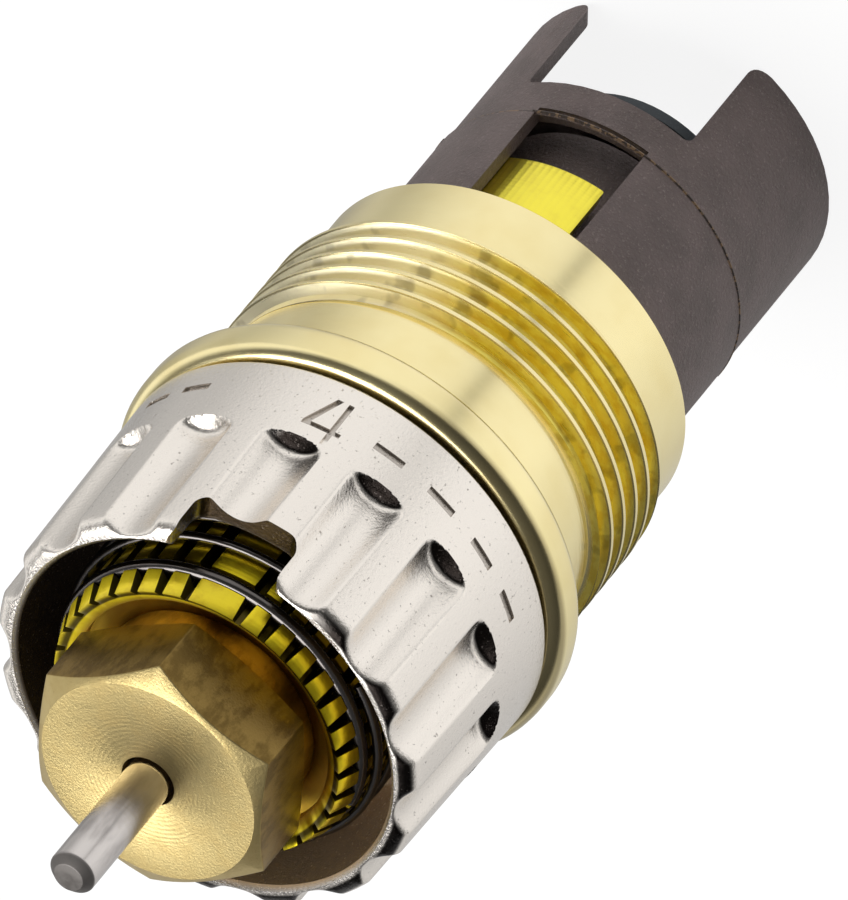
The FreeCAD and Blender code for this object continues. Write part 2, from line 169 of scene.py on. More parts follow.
class CageSizes(bpy.types.PropertyGroup):
    foot_radius: size("Foot radius", "Radius below the mould's seam", 7.12)
    radius: size("Radius", "Radius over the mould's seam", 7.22)
    seam: size("Seam", "Height of the mould's seam", 7.6)
    seam_slope: size("Seam slope", "Half the height in which the radius changes at the seam", 0.1)
    flash: size("Flash", "Height of the flash that the mould's halves left", 0.03)
    gap_half_width: size("Gap half width", "Half the gap between the prongs", 3.675)
    gap_rim: size("Gap rim", "Height where the gap between the prongs ends", 5.6)
    gap_round: size("Gap rounding", "Rounding in the corners of the gap", 0.35)
    tip_round: size("Tip rounding", "Rounding of the prongs' tips", 0.7)
    window_half_width: size("Window half width", "Half the width of a window", 2.475)
    window_low: size("Window sill", "Height of the window's lower side", 7.3)
    window_high: size("Window end", "Height of the window's upper side", 15.3)
    window_reach: size("Window reach", "Radius inside the wall where a window's cut starts", 5.6)
    tube_radius: size("Tube radius", "Outer radius of the guide tube", 5.07)
    tube_bore: size("Tube bore", "Bore of the guide tube", 3.6)
    tube_low: size("Tube end", "Height of the guide tube's lower end", 6.2)
    tube_top: size("Tube top", "Height of the guide tube's upper end", 18.0)
    tube_floor: size("Tube floor", "Height of the guide tube's inner floor", 13.5)
    spindle_bore: size("Spindle bore", "Hole for the spindle", 1.55)
    rib_half_width: size("Rib half width", "Half the thickness of a rib", 0.5)
    rib_top: size("Rib top", "Height of the ribs' upper ends", 9.4)
    rib_near: size("Rib root", "Radius in the tube's wall where a rib starts", 4.3)
    rib_far: size("Rib end", "Radius in the cage's wall where a rib ends", 6.8)
    edge_round: size("Edge rounding", "Small rounding of the moulded edges", 0.1)


class CylinderSizes(bpy.types.PropertyGroup):
    radius: size("Radius", "Radius that slides in the body", 6.35)
    skirt_bore: size("Skirt bore", "Inner radius of the skirt", 5.6)
    skirt_end: size("Skirt end", "Height of the skirt's lower end", 9.7)
    skirt_corner: size("Skirt corner", "Rounding of the skirt's corners", 0.4)
    opening_top: size("Opening top", "Height of the skirt's openings", 15.3)
    seal_low: size("Seal groove", "Height of the round seal's groove", 26.0)
    seal_high: size("Seal groove end", "Height of that groove's upper side", 27.3)
    seal_radius: size("Seal groove radius", "Radius at the bottom of that groove", 5.3)
    snap_radius: size("Snap groove radius", "Radius at the bottom of the snap ring's groove", 5.95)
    snap_low: size("Snap groove", "Height of the snap ring's groove", 20.1)
    snap_high: size("Snap groove end", "Height of that groove's upper side", 20.9)
    tip_radius: size("Tip radius", "Radius over the crown's teeth", 6.78)
    root_radius: size("Root radius", "Radius at the bottom of the notches", 6.12)
    cut_radius: size("Cut radius", "Radius that the notches are drawn out to", 8.5)
    notch_top: size("Notch top", "Half the width of a notch at the tips", 0.28)
    notch_bottom: size("Notch bottom", "Half the width of a notch at its bottom", 0.11)
    taper: size("Taper", "How far the front row of teeth leans in", 0.38)
    face_width: size("Face width", "Width of the crown's dished face", 0.75)
    dish: size("Dish", "Depth of the crown's dished face", 0.5)
    thread_bore: size("Thread bore", "Bore for the gland", 3.9)
    thread_bore_low: size("Thread bore end", "Height of that bore's floor", 33.23)
    passage_radius: size("Passage radius", "Hole for the pin", 1.6)
    floor: size("Floor", "Height of the spring room's ceiling", 31.03)
    room_radius: size("Room radius", "Radius of the spring room", 4.6)
    room_low: size("Room end", "Height where the spring room opens", 18.8)
    edge_round: size("Edge rounding", "Broken edge of the teeth", 0.04)


class RingSizes(bpy.types.PropertyGroup):
    low: size("Lower end", "Height of the ring's lower end", 28.27)
    top: size("Rim", "Height of the ring's rim", 38.73)
    base_radius: size("Base radius", "Outer radius at the lower end", 9.7)
    rim_radius: size("Rim radius", "Outer radius at the rim", 9.45)
    bore: size("Bore", "Inner radius", 8.4)
    base_round: size("Base rounding", "Rounding of the lower edge", 0.15)
    rim_round: size("Rim rounding", "Rounding of the rim", 0.72)
    mouth: size("Mouth chamfer", "Chamfer at the mouth of the bore", 0.2)
    flute_radius: size("Flute radius", "Radius of a finger flute", 1.5)
    flute_end: size("Flute end", "Length of the round end of a flute", 0.75)
    flute_depth: size("Flute depth", "Depth of a finger flute", 0.62)
    flute_length: size("Flute length", "Length of a flute below the rim", 6.9)
    flute_soft: size("Flute softness", "How far a flute's long edges are washed out", 0.34)
    notch_half_width: size("Notch half width", "Half the width of the notch in the rim", 2.3)
    notch_depth: size("Notch depth", "Depth of the notch in the rim", 2.2)
    notch_round: size("Notch rounding", "Rounding in the notch's corners", 0.6)
    notch_mouth: size("Notch mouth", "Rounding of the notch's outer corners", 0.3)
    flange_reach: size("Flange reach", "Radius inside the wall where the flange is joined", 8.6)
    fit: size("Fit", "Play between the crown and the flange", 0.05)
    mark_depth: size("Mark depth", "Depth of the scale's dashes and digit", 0.12)
    dash_length: size("Dash length", "Length of a dash of the scale", 1.4)
    dash_height: size("Dash height", "Height of a dash of the scale", 0.38)
    digit_width: size("Digit width", "Width of the scale's digit", 1.7)
    digit_height: size("Digit height", "Height of the scale's digit", 2.5)
    stroke: size("Digit stroke", "Width of the digit's strokes", 0.24)


class GlandSizes(bpy.types.PropertyGroup):
    flats: size("Width over flats", "Width of the hexagon", 10.0)
    hex_low: size("Hexagon start", "Height where the hexagon starts", 39.43)
    top: size("Top", "Height of the gland's face", 43.13)
    face_margin: size("Face margin", "How far the face stays inside the flats", 0.23)
    neck_radius: size("Neck radius", "Turned neck below the hexagon", 4.71)
    shank_radius: size("Shank radius", "Part in the crown's bore", 3.85)
    seal_radius: size("Seal groove radius", "Radius at the bottom of the seal's groove", 3.12)
    seal_low: size("Seal groove", "Height of the seal's groove", 37.31)
    shank_low: size("Shank end", "Height of the shank's end", 33.25)
    chamber_radius: size("Chamber radius", "Radius of the chamber of the pin's seal", 2.0)
    chamber_top: size("Chamber top", "Height of that chamber's ceiling", 35.83)
    guide_radius: size("Guide radius", "Guide of the pin", 1.05)
    mouth_radius: size("Mouth radius", "Wider mouth of the guide", 1.16)
    mouth_depth: size("Mouth depth", "Depth of that mouth", 1.6)
    edge_round: size("Edge rounding", "Broken edges of the hexagon", 0.05)


class WireSizes(bpy.types.PropertyGroup):
    clip_wire: size("Clip wire", "Thickness of the retaining clip", 0.6)
    clip_radius: size("Clip radius", "Radius of the clip's centre line", 6.66)
    clip_height: size("Clip height", "Height of the clip's centre line", 37.91)
    clip_end: size("Clip end rounding", "Rounding of the clip's ends", 0.18)
    ring_spring_wire: size("Ring spring wire", "Wire of the ring's spring", 0.42)
    ring_spring_radius: size("Ring spring radius", "Centre line of the ring's spring", 7.09)
    ring_spring_low: size("Ring spring foot", "Lower end of the ring's spring", 32.05)
    ring_spring_high: size("Ring spring head", "Upper end of the ring's spring", 37.59)
    return_wire: size("Return spring wire", "Wire of the return spring", 0.7)
    return_radius: size("Return spring radius", "Centre line of the return spring", 3.3)
    return_low: size("Return spring foot", "Lower end of the return spring", 18.52)
    return_high: size("Return spring head", "Upper end of the return spring", 30.21)


class PinSizes(bpy.types.PropertyGroup):
    radius: size("Radius", "Radius of the pressure pin", 1.0)
    low: size("Lower end", "Height of the pin's lower end", 31.03)
    tip: size("Tip", "Height of the pin's tip", 49.53)
    chamfer: size("Chamfer", "Chamfer of the pin's tip", 0.35)
    soft: size("Softness", "Rounding of the chamfer's edges", 0.08)


class FinishColours(bpy.types.PropertyGroup):
    body_brass: bpy.props.FloatVectorProperty(
        name="Body brass", description="Turned brass of the valve body",
        subtype="COLOR", default=tone(253, 238, 182), min=0, max=1)
    # Deeper yellow brass for the bottom of the thread's grooves
    groove_brass: bpy.props.FloatVectorProperty(
        name="Groove brass", description="Oily brass at the bottom of the thread",
        subtype="COLOR", default=tone(255, 236, 116), min=0, max=1)
    bright_brass: bpy.props.FloatVectorProperty(
        name="Bright brass", description="Lemon brass of the setting cylinder",
        subtype="COLOR", default=tone(246, 222, 44), min=0, max=1)
    gland_brass: bpy.props.FloatVectorProperty(
        name="Gland brass", description="Dull olive brass of the gland nut",
        subtype="COLOR", default=tone(194, 174, 120), min=0, max=1)
    nickel: bpy.props.FloatVectorProperty(
        name="Nickel", description="Satin nickel plating of the setting ring",
        subtype="COLOR", default=tone(243, 236, 227), min=0, max=1)
    steel: bpy.props.FloatVectorProperty(
        name="Steel", description="Ground steel of the pin and the stem",
        subtype="COLOR", default=tone(212, 206, 202), min=0, max=1)
    spring_steel: bpy.props.FloatVectorProperty(
        name="Spring steel", description="Dark drawn wire of the springs and the clip",
        subtype="COLOR", default=tone(104, 100, 98), min=0, max=1)
    plastic: bpy.props.FloatVectorProperty(
        name="Plastic", description="Brown moulding of the cage",
        subtype="COLOR", default=tone(118, 103, 100), min=0, max=1)
    cone_rubber: bpy.props.FloatVectorProperty(
        name="Cone rubber", description="Slate rubber of the cone seal",
        subtype="COLOR", default=tone(44, 52, 58), min=0, max=1)
    seal_rubber: bpy.props.FloatVectorProperty(
        name="Seal rubber", description="Black rubber of the round seals",
        subtype="COLOR", default=tone(28, 28, 30), min=0, max=1)


class StageSettings(bpy.types.PropertyGroup):
    lamp_power: bpy.props.FloatProperty(
        name="Lamp power", description="Power of the soft lamp over the object",
        default=0.55, min=0, unit="POWER")
    floor_reach: bpy.props.FloatProperty(
        name="Floor reach", description="Half the width of the floor",
        default=2.0, min=0.5, unit="LENGTH")
    camera_distance: bpy.props.FloatProperty(
        name="Camera distance", description="Distance from the camera to the object",
        default=1490.97 * MM, min=0.2, unit="LENGTH")


# Shader formulas

class Signal:
    """A shader value in a formula: each operator adds a Math node to its finish."""

    def __init__(self, finish, socket):
        self.finish = finish
        self.socket = socket

    def __add__(self, other):
        return self.finish.formula("ADD", self, other)

    def __radd__(self, other):
        return self.finish.formula("ADD", other, self)

    def __sub__(self, other):
        return self.finish.formula("SUBTRACT", self, other)

    def __rsub__(self, other):
        return self.finish.formula("SUBTRACT", other, self)

    def __mul__(self, other):
        return self.finish.formula("MULTIPLY", self, other)

    def __rmul__(self, other):
        return self.finish.formula("MULTIPLY", other, self)

    def __truediv__(self, other):
        return self.finish.formula("DIVIDE", self, other)


class Finish:
    """A procedural material that is put together from formulas on Object coordinates."""

    def __init__(self, name, constants):
        self.material = bpy.data.materials.new(name)
        self.material.use_nodes = True
        self.tree = self.material.node_tree
        self.shader = self.tree.nodes["Principled BSDF"]
        for socket, value in constants.items():
            self.shader.inputs[socket].default_value = value
        place = self.add("ShaderNodeTexCoord", {}, {}, "Object")
        self.place = self.add("ShaderNodeVectorMath", {"operation": "SCALE"},
                              {0: place, "Scale": 1 / MM})
        self.x = self.add("ShaderNodeSeparateXYZ", {}, {0: self.place}, 0)
        self.y = self.add("ShaderNodeSeparateXYZ", {}, {0: self.place}, 1)
        self.z = self.add("ShaderNodeSeparateXYZ", {}, {0: self.place}, 2)
        self.radius = self.formula("SQRT", self.x * self.x + self.y * self.y)
        facing = self.add("ShaderNodeTexCoord", {}, {}, "Normal")
        self.facing_up = self.add("ShaderNodeSeparateXYZ", {}, {0: facing}, 2)
        outward = self.add("ShaderNodeVectorMath", {"operation": "DOT_PRODUCT"},
                           {0: facing, 1: self.place}, "Value")
        self.facing_out = (outward - self.facing_up * self.z) / self.radius

    def add(self, kind, settings, values, output=0):
        """One node: its settings first, then the values or links of its sockets."""
        node = self.tree.nodes.new(kind)
        for name, setting in settings.items():
            if name == "stops":
                set_stops(node.color_ramp, setting)
            else:
                setattr(node, name, setting)
        for place, value in values.items():
            if isinstance(value, Signal):
                self.tree.links.new(value.socket, node.inputs[place])
            else:
                node.inputs[place].default_value = value
        return Signal(self, node.outputs[output])

    def formula(self, operation, *values):
        """A Math node on one to three values."""
        return self.add("ShaderNodeMath", {"operation": operation}, dict(enumerate(values)))

    def feed(self, socket, value):
        """Give a socket of the main shader its link."""
        self.tree.links.new(value.socket, self.shader.inputs[socket])

    def step(self, value, low, high):
        """Smooth rise from 0 at low to 1 at high; low may be the greater one."""
        return self.add("ShaderNodeMapRange", {"interpolation_type": "SMOOTHSTEP"},
                        {"Value": value, "From Min": low, "From Max": high})

    def between(self, value, low, high, soft):
        """1 inside a range and 0 outside, with soft ends."""
        return self.step(value, low - soft, low + soft) * self.step(value, high + soft, high - soft)

    def noise(self, scale, detail=2.0, rough=0.5, place=None):
        """Cloudy noise; the scale counts waves in a millimetre."""
        return self.add("ShaderNodeTexNoise", {},
                        {"Vector": place or self.place, "Scale": scale, "Detail": detail,
                         "Roughness": rough})

    def stretched(self, across, along):
        """Object coordinates scaled apart, across the axis and along it."""
        return self.add("ShaderNodeMapping", {}, {"Vector": self.place,
                                                  "Scale": (across, across, along)})

    def lathe_marks(self, pitch, wander=0.15):
        """Fine lines round the axis, as a turning tool leaves them on sides and faces."""
        run = self.z + self.radius
        line = self.add("ShaderNodeCombineXYZ", {}, {
            0: self.x * wander, 1: self.y * wander, 2: run / pitch})
        return self.noise(1.0, 3.0, 0.6, line)

    def mix(self, factor, first, second):
        """Colour that goes from the first to the second as the factor goes from 0 to 1."""
        return self.add("ShaderNodeMix", {"data_type": "RGBA"},
                        {0: factor, 6: opaque(first), 7: opaque(second)}, 2)

    def bump(self, height, distance):
        """Normal of a surface that is raised by the height, in millimetres of distance."""
        return self.add("ShaderNodeBump", {},
                        {"Height": height, "Distance": distance * MM, "Strength": 1.0})


def opaque(colour):
    """A colour that is given as three numbers gets its full alpha; a link stays as it is."""
    return colour if isinstance(colour, Signal) else (*colour[:3], 1.0)


def set_stops(ramp, stops):
    """Give a ramp its (position, brightness) stops."""
    for number, (position, value) in enumerate(stops):
        stop = ramp.elements[number] if number < 2 else ramp.elements.new(position)
        stop.position = position
        stop.color = (value, value, value, 1.0)


# Finishes

def body_brass_finish(colours, common, sizes):
    """Turned brass: brushed sides, a deeper yellow thread with dark spots in its grooves, painted
    shade under the crests and on the bead's edge, and painted light towards +X.
    """
    finish = Finish("body_brass", {})
    marks = finish.lathe_marks(0.11, 0.3)
    cloud = finish.noise(0.35, 3.0)
    crest = sizes.thread_radius
    in_thread = finish.between(finish.z, sizes.thread_low + 0.2, sizes.thread_high - 0.05, 0.05)
    groove = finish.step(finish.radius, crest - 0.015, crest - 0.1) * in_thread
    stain = finish.noise(1.6, 4.0, 0.65, finish.stretched(0.5, 3.0))
    brass = finish.mix(finish.step(cloud, 0.35, 0.75) * 0.4, colours.body_brass,
                       tone(240, 218, 150))
    # Deeper yellow brass in the thread's grooves, with random stains
    groove_tint = finish.mix(finish.step(stain, 0.42, 0.62) * 0.7, colours.groove_brass,
                      tone(232, 198, 62))
    # Painted light: the thread is painted cream towards +X
    lit_side = finish.step(finish.x, 0.5, 5.5)
    # Painted shade: a thin dark line just under the thread's crests, joined below with dark dirt
    # spots in the grooves
    rim = finish.between(finish.radius, crest - 0.07, crest - 0.015, 0.02) * in_thread
    spots = finish.step(finish.noise(0.9, 2.0, 0.5, finish.stretched(1.0, 0.4)), 0.55, 0.66)
    crest_shade_and_grime = finish.formula("MAXIMUM", rim * 0.45, groove * spots * 0.3)
    thread = finish.mix(lit_side * 0.85, groove_tint, tone(255, 246, 216))
    bead_edge = sizes.bead_radius - sizes.bead_round
    bead_side = finish.step(finish.z, common.bead_top - 0.73, common.bead_top - 0.43)
    shadow = bead_side * finish.step(finish.radius, bead_edge - 0.2, bead_edge) \
        * finish.step(finish.x, 3.5, -1.0)
    finish.feed("Base Color", finish.mix(finish.formula("MAXIMUM", crest_shade_and_grime, shadow * 0.55),
                                         finish.mix(groove, brass, thread), tone(70, 50, 20)))
    finish.feed("Metallic", 1.0 - groove * (0.3 - lit_side * 0.25))
    finish.feed("Roughness", 0.15 + marks * 0.14 + groove * 0.08)
    finish.feed("Normal", finish.bump(marks, 0.009))
    return finish.material


def bright_brass_finish(colours, common, sizes):
    """Lemon brass of the setting cylinder, with painted shade in the crown's notches and on its
    dished face.
    """
    finish = Finish("bright_brass", {})
    marks = finish.lathe_marks(0.08)
    stain = finish.noise(1.3, 4.0, 0.6)
    crown = finish.step(finish.z, common.neck_top - 0.13, common.neck_top + 0.07)
    # Painted shade: the notches between the crown's teeth are painted near black
    flank = finish.step(finish.facing_out, 0.6, 0.4) * finish.step(finish.facing_up, 0.5, 0.3)
    root = finish.step(finish.radius, sizes.root_radius + 0.38, sizes.root_radius + 0.08)
    outside = finish.step(finish.radius, sizes.root_radius - 0.1, sizes.root_radius - 0.02)
    notch = finish.formula("MAXIMUM", flank, root) * crown * outside
    dish_radius = sizes.tip_radius - sizes.taper - sizes.face_width
    # Painted shade: the crown's dished face is painted darker brown
    dish = finish.step(finish.radius, dish_radius + 0.35, dish_radius - 0.05) * crown
    brass = finish.mix(finish.step(stain, 0.45, 0.75) * 0.6, colours.bright_brass,
                       tone(206, 168, 30))
    skirt = finish.step(finish.z, common.cage_top + 0.5, common.cage_top - 0.5)
    dish_shaded = finish.mix(dish * 0.75, finish.mix(skirt * 0.7, brass, tone(255, 243, 96)),
                      tone(178, 130, 58))
    front_row = finish.step(finish.z, common.groove_high - 0.03, common.groove_high + 0.07) \
        * finish.step(finish.x, -1.0, 4.0)
    finish.feed("Base Color", finish.mix(notch * 0.92, dish_shaded, tone(34, 24, 10)))
    finish.feed("Metallic", 1.0 - front_row * 0.6)
    finish.feed("Roughness", 0.24 + marks * 0.16)
    finish.feed("Normal", finish.bump(marks, 0.008))
    return finish.material


def gland_brass_finish(colours, sizes):
    """Dull olive brass with tool marks round the pin's hole."""
    finish = Finish("gland_brass", {"Metallic": 1.0})
    lines = finish.formula("SINE", finish.radius * 30.0 + finish.noise(0.8) * 3.0)
    faint = finish.step(finish.noise(0.5, 3.0), 0.3, 0.7)
    face = finish.step(finish.z, sizes.top - 0.13, sizes.top - 0.03)
    tool = lines * faint * face * finish.step(finish.radius, 3.7, 2.4)
    smear = finish.noise(1.1, 4.0, 0.6)
    grain = finish.noise(9.0, 3.0, 0.6)
    bare = finish.mix(finish.step(smear, 0.4, 0.7) * 0.4, colours.gland_brass, tone(172, 148, 94))
    stain = finish.step(finish.noise(1.2, 5.0, 0.65, finish.stretched(1.0, 0.5)), 0.42, 0.62)
    side = finish.mix(stain * 0.6, tone(150, 124, 70), tone(88, 68, 34))
    upward = finish.step(finish.facing_up, 0.2, 0.8)
    finish.feed("Base Color", finish.mix(finish.step(grain, 0.62, 0.75) * 0.3,
                                         finish.mix(upward, side, bare), tone(112, 88, 44)))
    finish.feed("Roughness", 0.3 + smear * 0.2)
    finish.feed("Normal", finish.bump(grain * 0.6 + smear * 0.3 + tool * 0.12, 0.02))
    return finish.material


def nickel_finish(colours, sizes):
    """Satin nickel with fine pits; painted shade makes the flutes' end walls and the rim's -X side
    dark, darkens the engraved marks and paints the bore and the notch's floor brown.
    """
    finish = Finish("nickel", {})
    grain = finish.noise(7.0, 4.0, 0.65)
    pits = finish.step(finish.noise(5.5, 3.0, 0.7), 0.64, 0.74)
    mouth_radius = sizes.bore + sizes.mouth
    inside = finish.step(finish.radius, mouth_radius + 0.02, sizes.bore + 0.02)
    shade_side = finish.step(finish.x, 1.5, -2.0)
    upward = finish.step(finish.facing_up, 0.5, 0.75)
    flute_top = sizes.top - sizes.flute_length
    flute_floor = sizes.rim_radius - sizes.flute_depth
    # Painted shade: the flutes' end walls, except towards +X, are painted black and grainy
    ends = upward * finish.between(finish.z, flute_top - 0.33, flute_top + 0.87, 0.1) \
        * finish.step(finish.x, 6.5, 4.5) \
        * finish.step(finish.radius, flute_floor + 0.05, flute_floor + 0.15)
    notch_floor = sizes.top - sizes.notch_depth
    # Painted reflection: the notch's floor is painted with the bore wall's brown
    cut = upward * finish.between(finish.z, notch_floor - 0.33, notch_floor + 1.27, 0.1)
    # Painted shade: on the -X side the rim's top is painted grey near the mouth and black further
    # out
    rim = upward * finish.step(finish.z, sizes.top - 0.83, sizes.top - 0.53) * shade_side
    land_end_shade = rim * finish.step(finish.radius, mouth_radius + 0.12, mouth_radius + 0.26)
    slope = (sizes.base_radius - sizes.rim_radius) / (sizes.top - sizes.low)
    sunk = sizes.base_radius - (finish.z - sizes.low) * slope - finish.radius
    # Painted shade: the engraved dashes and digit are painted darker
    marks = finish.step(sunk, 0.05, 0.1) \
        * finish.between(finish.z, sizes.low + 0.73, sizes.low + 3.13, 0.1)
    engraving_shaded = finish.mix(marks * 0.6, colours.nickel, tone(140, 130, 120))
    plate = finish.mix(pits * 0.5, finish.mix(rim * 0.5, engraving_shaded, tone(150, 146, 142)),
                       tone(120, 112, 106))
    sparks = finish.step(grain, 0.6, 0.7)
    black = finish.mix(sparks * 0.35, tone(34, 30, 28), tone(150, 142, 136))
    brown = finish.mix(sparks * 0.4, tone(70, 60, 50), tone(130, 122, 116))
    outside = finish.mix(finish.formula("MAXIMUM", ends, land_end_shade), plate, black)
    # Painted shade: the bore's wall is painted dark brown, lighter tan towards -X
    wall = finish.mix(finish.step(finish.x, 1.0, -5.0), brown, tone(176, 152, 122))
    finish.feed("Base Color", finish.mix(finish.formula("MAXIMUM", inside, cut), outside, wall))
    finish.feed("Metallic", 1.0 - inside * 0.4)
    finish.feed("Roughness", 0.17 + grain * 0.16)
    finish.feed("Normal", finish.bump(grain - pits * 0.6, 0.02))
    return finish.material


def steel_finish(name, colour, shine, tip_height):
    """Ground steel with faint rings and long smears, dull at the pin's tip."""
    finish = Finish(name, {"Metallic": 1.0})
    marks = finish.lathe_marks(0.04)
    smear = finish.noise(0.9, 3.0, 0.6, finish.stretched(1.0, 0.3))
    ground = finish.mix(finish.step(smear, 0.4, 0.7) * 0.55, colour, tone(96, 90, 88))
    tip = finish.step(finish.z, tip_height - 0.43, tip_height - 0.28)
    finish.feed("Base Color", finish.mix(tip * 0.8, ground, tone(46, 42, 38)))
    finish.feed("Roughness", shine + marks * 0.1 + tip * 0.35)
    finish.feed("Normal", finish.bump(marks, 0.003))
    return finish.material


def plastic_finish(colours, sizes):
    """Brown moulding with a fine grain and tan crumbs on the mould's seam."""
    finish = Finish("cage_plastic", {"Metallic": 0.0})
    grain = finish.noise(8.0, 3.0, 0.7)
    pimples = finish.noise(5.0, 3.0, 0.6)
    cloud = finish.noise(0.5, 3.0)
    crumbs = finish.step(finish.noise(4.0, 2.0, 0.7), 0.48, 0.56)
    outer = finish.step(finish.radius, sizes.foot_radius - 0.12, sizes.foot_radius - 0.02)
    seam = finish.between(finish.z, sizes.seam - 0.02, sizes.seam + 0.14, 0.03) * outer
    brown = finish.mix(finish.step(cloud, 0.35, 0.7) * 0.5, colours.plastic, tone(88, 76, 72))
    dusty = finish.mix(finish.step(grain, 0.56, 0.68) * 0.5, brown, tone(160, 148, 144))
    dotted = finish.mix(crumbs, tone(48, 36, 28), tone(150, 120, 86))
    finish.feed("Base Color", finish.mix(seam * 0.8, dusty, dotted))
    finish.feed("Roughness", 0.44 + grain * 0.25)
    finish.feed("Normal", finish.bump(grain * 0.8 + pimples, 0.085))
    return finish.material


def rubber_finish(name, colour):
    """Dull rubber."""
    finish = Finish(name, {"Metallic": 0.0})
    grain = finish.noise(8.0, 3.0, 0.6)
    finish.feed("Base Color", finish.mix(finish.step(grain, 0.5, 0.75) * 0.5, colour,
                                         tone(74, 80, 84)))
    finish.feed("Roughness", 0.42 + grain * 0.2)
    finish.feed("Normal", finish.bump(grain, 0.01))
    return finish.material


# Modelling by hand

def start_fresh():
    """Leave edit mode and select nothing."""
    if bpy.context.mode != "OBJECT":
        bpy.ops.object.mode_set(mode="OBJECT")
    bpy.ops.object.select_all(action="DESELECT")


def rounded(profile, arc_steps=5):
    """Points of a profile of (radius, height, rounding) corners, with arcs at its corners."""
    points = []
    for number, (radius, height, rounding) in enumerate(profile):
        corner = Vector((radius, height))
        if not rounding:
            points.append(corner)
            continue
        back = (Vector(profile[number - 1][:2]) - corner).normalized()
        ahead = (Vector(profile[(number + 1) % len(profile)][:2]) - corner).normalized()
        half = back.angle(ahead) / 2
        reach = rounding / math.tan(half)
        centre = corner + (back + ahead).normalized() * rounding / math.sin(half)
        first = (corner + back * reach - centre).normalized()
        last = (corner + ahead * reach - centre).normalized()
        for step in range(arc_steps + 1):
            points.append(centre + first.slerp(last, step / arc_steps) * rounding)
    return points


def draw_profile(name, points):
    """Extrude one vertex round a closed half section; stays in edit mode."""
    start_fresh()
    bpy.ops.mesh.primitive_plane_add(size=MM, enter_editmode=True)
    bpy.context.object.name = name
    bpy.ops.mesh.merge(type="CENTER")
    bpy.ops.transform.translate(value=(points[0][0] * MM, 0, points[0][1] * MM))
    for here, there in zip(points, points[1:] + points[:1]):
        step = ((there[0] - here[0]) * MM, 0, (there[1] - here[1]) * MM)
        bpy.ops.mesh.extrude_region_move(TRANSFORM_OT_translate={"value": step})
    bpy.ops.mesh.select_all(action="SELECT")
    bpy.ops.mesh.remove_doubles(threshold=0.0005 * MM)
    bpy.ops.mesh.select_all(action="SELECT")
    return bpy.context.object


def close_up(threshold=0.0005):
    """Merge doubles, turn every face outwards and leave edit mode."""
    bpy.ops.mesh.select_all(action="SELECT")
    bpy.ops.mesh.remove_doubles(threshold=threshold * MM)
    bpy.ops.mesh.normals_make_consistent(inside=False)
    bpy.ops.object.mode_set(mode="OBJECT")


def turned(name, points, steps):
    """Solid of revolution from the points of its half section."""
    piece = draw_profile(name, points)
    bpy.ops.mesh.spin(steps=steps, angle=math.tau, center=(0, 0, 0), axis=(0, 0, 1))
    close_up()
    return piece


def draw_outline(name, points):
    """Extrude one vertex through the corners of a closed outline and fill it."""
    start_fresh()
    bpy.ops.mesh.primitive_plane_add(size=MM, enter_editmode=True)
    bpy.context.object.name = name
    bpy.ops.mesh.merge(type="CENTER")
    bpy.ops.transform.translate(value=points[0] * MM)
    for here, there in zip(points, points[1:]):
        bpy.ops.mesh.extrude_region_move(TRANSFORM_OT_translate={"value": (there - here) * MM})
    bpy.ops.mesh.select_all(action="SELECT")
    bpy.ops.mesh.edge_face_add()
    return bpy.context.object


def pushed(name, points, push):
    """Closed solid from an outline that is extruded by a vector."""
    piece = draw_outline(name, points)
    bpy.ops.mesh.extrude_region_move(TRANSFORM_OT_translate={"value": push * MM})
    close_up()
    return piece


def upright(name, corners, low, high):
    """Upright prism on the corners of its plan."""
    points = [Vector((corner[0], corner[1], low)) for corner in corners]
    return pushed(name, points, Vector((0, 0, high - low)))


def radial(name, corners, near, far, angle):
    """Prism that points outwards at an angle, from (sideways, height) corners."""
    points = [Vector((near, side, height)) for side, height in corners]
    piece = pushed(name, points, Vector((far - near, 0, 0)))
    turn(piece, angle)
    return piece


def turn(piece, angle):
    """Turn the mesh of a piece about the axis."""
    piece.data.transform(Matrix.Rotation(math.radians(angle), 4, "Z"))


def copied(piece, angle):
    """Copy of a piece that is turned about the axis."""
    start_fresh()
    bpy.context.view_layer.objects.active = piece
    piece.select_set(True)
    bpy.ops.object.duplicate()
    twin = bpy.context.object
    turn(twin, angle)
    return twin


def slot_corners(half_width, end, mouth, end_round, mouth_round, arc_steps=6):
    """(sideways, height) corners of a slot with a round end and a flared mouth."""
    way = 1 if mouth > end else -1
    edge = half_width + mouth_round
    side = rounded([
        (edge + 1, mouth + way, 0), (edge, mouth, 0), (half_width, mouth, mouth_round),
        (half_width, end, end_round), (0, end, 0),
    ], arc_steps)[:-1]
    flared = [(point[0], point[1]) for point in side]
    return flared + [(-sideways, height) for sideways, height in reversed(flared)]


def wound(name, wire, centre_radius, low, high, turns, start, sides=14):
    """Coil of round wire between two heights, with closed ends."""
    start_fresh()
    bpy.ops.mesh.primitive_circle_add(vertices=sides, radius=wire / 2 * MM, enter_editmode=True,
                                      rotation=(math.radians(90), 0, 0))
    coil = bpy.context.object
    coil.name = name
    bpy.ops.transform.translate(value=(centre_radius * MM, 0, (low + wire / 2) * MM))
    bpy.ops.object.mode_set(mode="OBJECT")
    bpy.ops.object.transform_apply(location=True, rotation=True, scale=True)
    apply_modifier(coil, "SCREW", axis="Z", angle=math.tau, iterations=turns, steps=64,
                   render_steps=64, screw_offset=(high - low - wire) / turns * MM,
                   use_merge_vertices=False)
    close_ends(coil)
    turn(coil, start)
    return coil


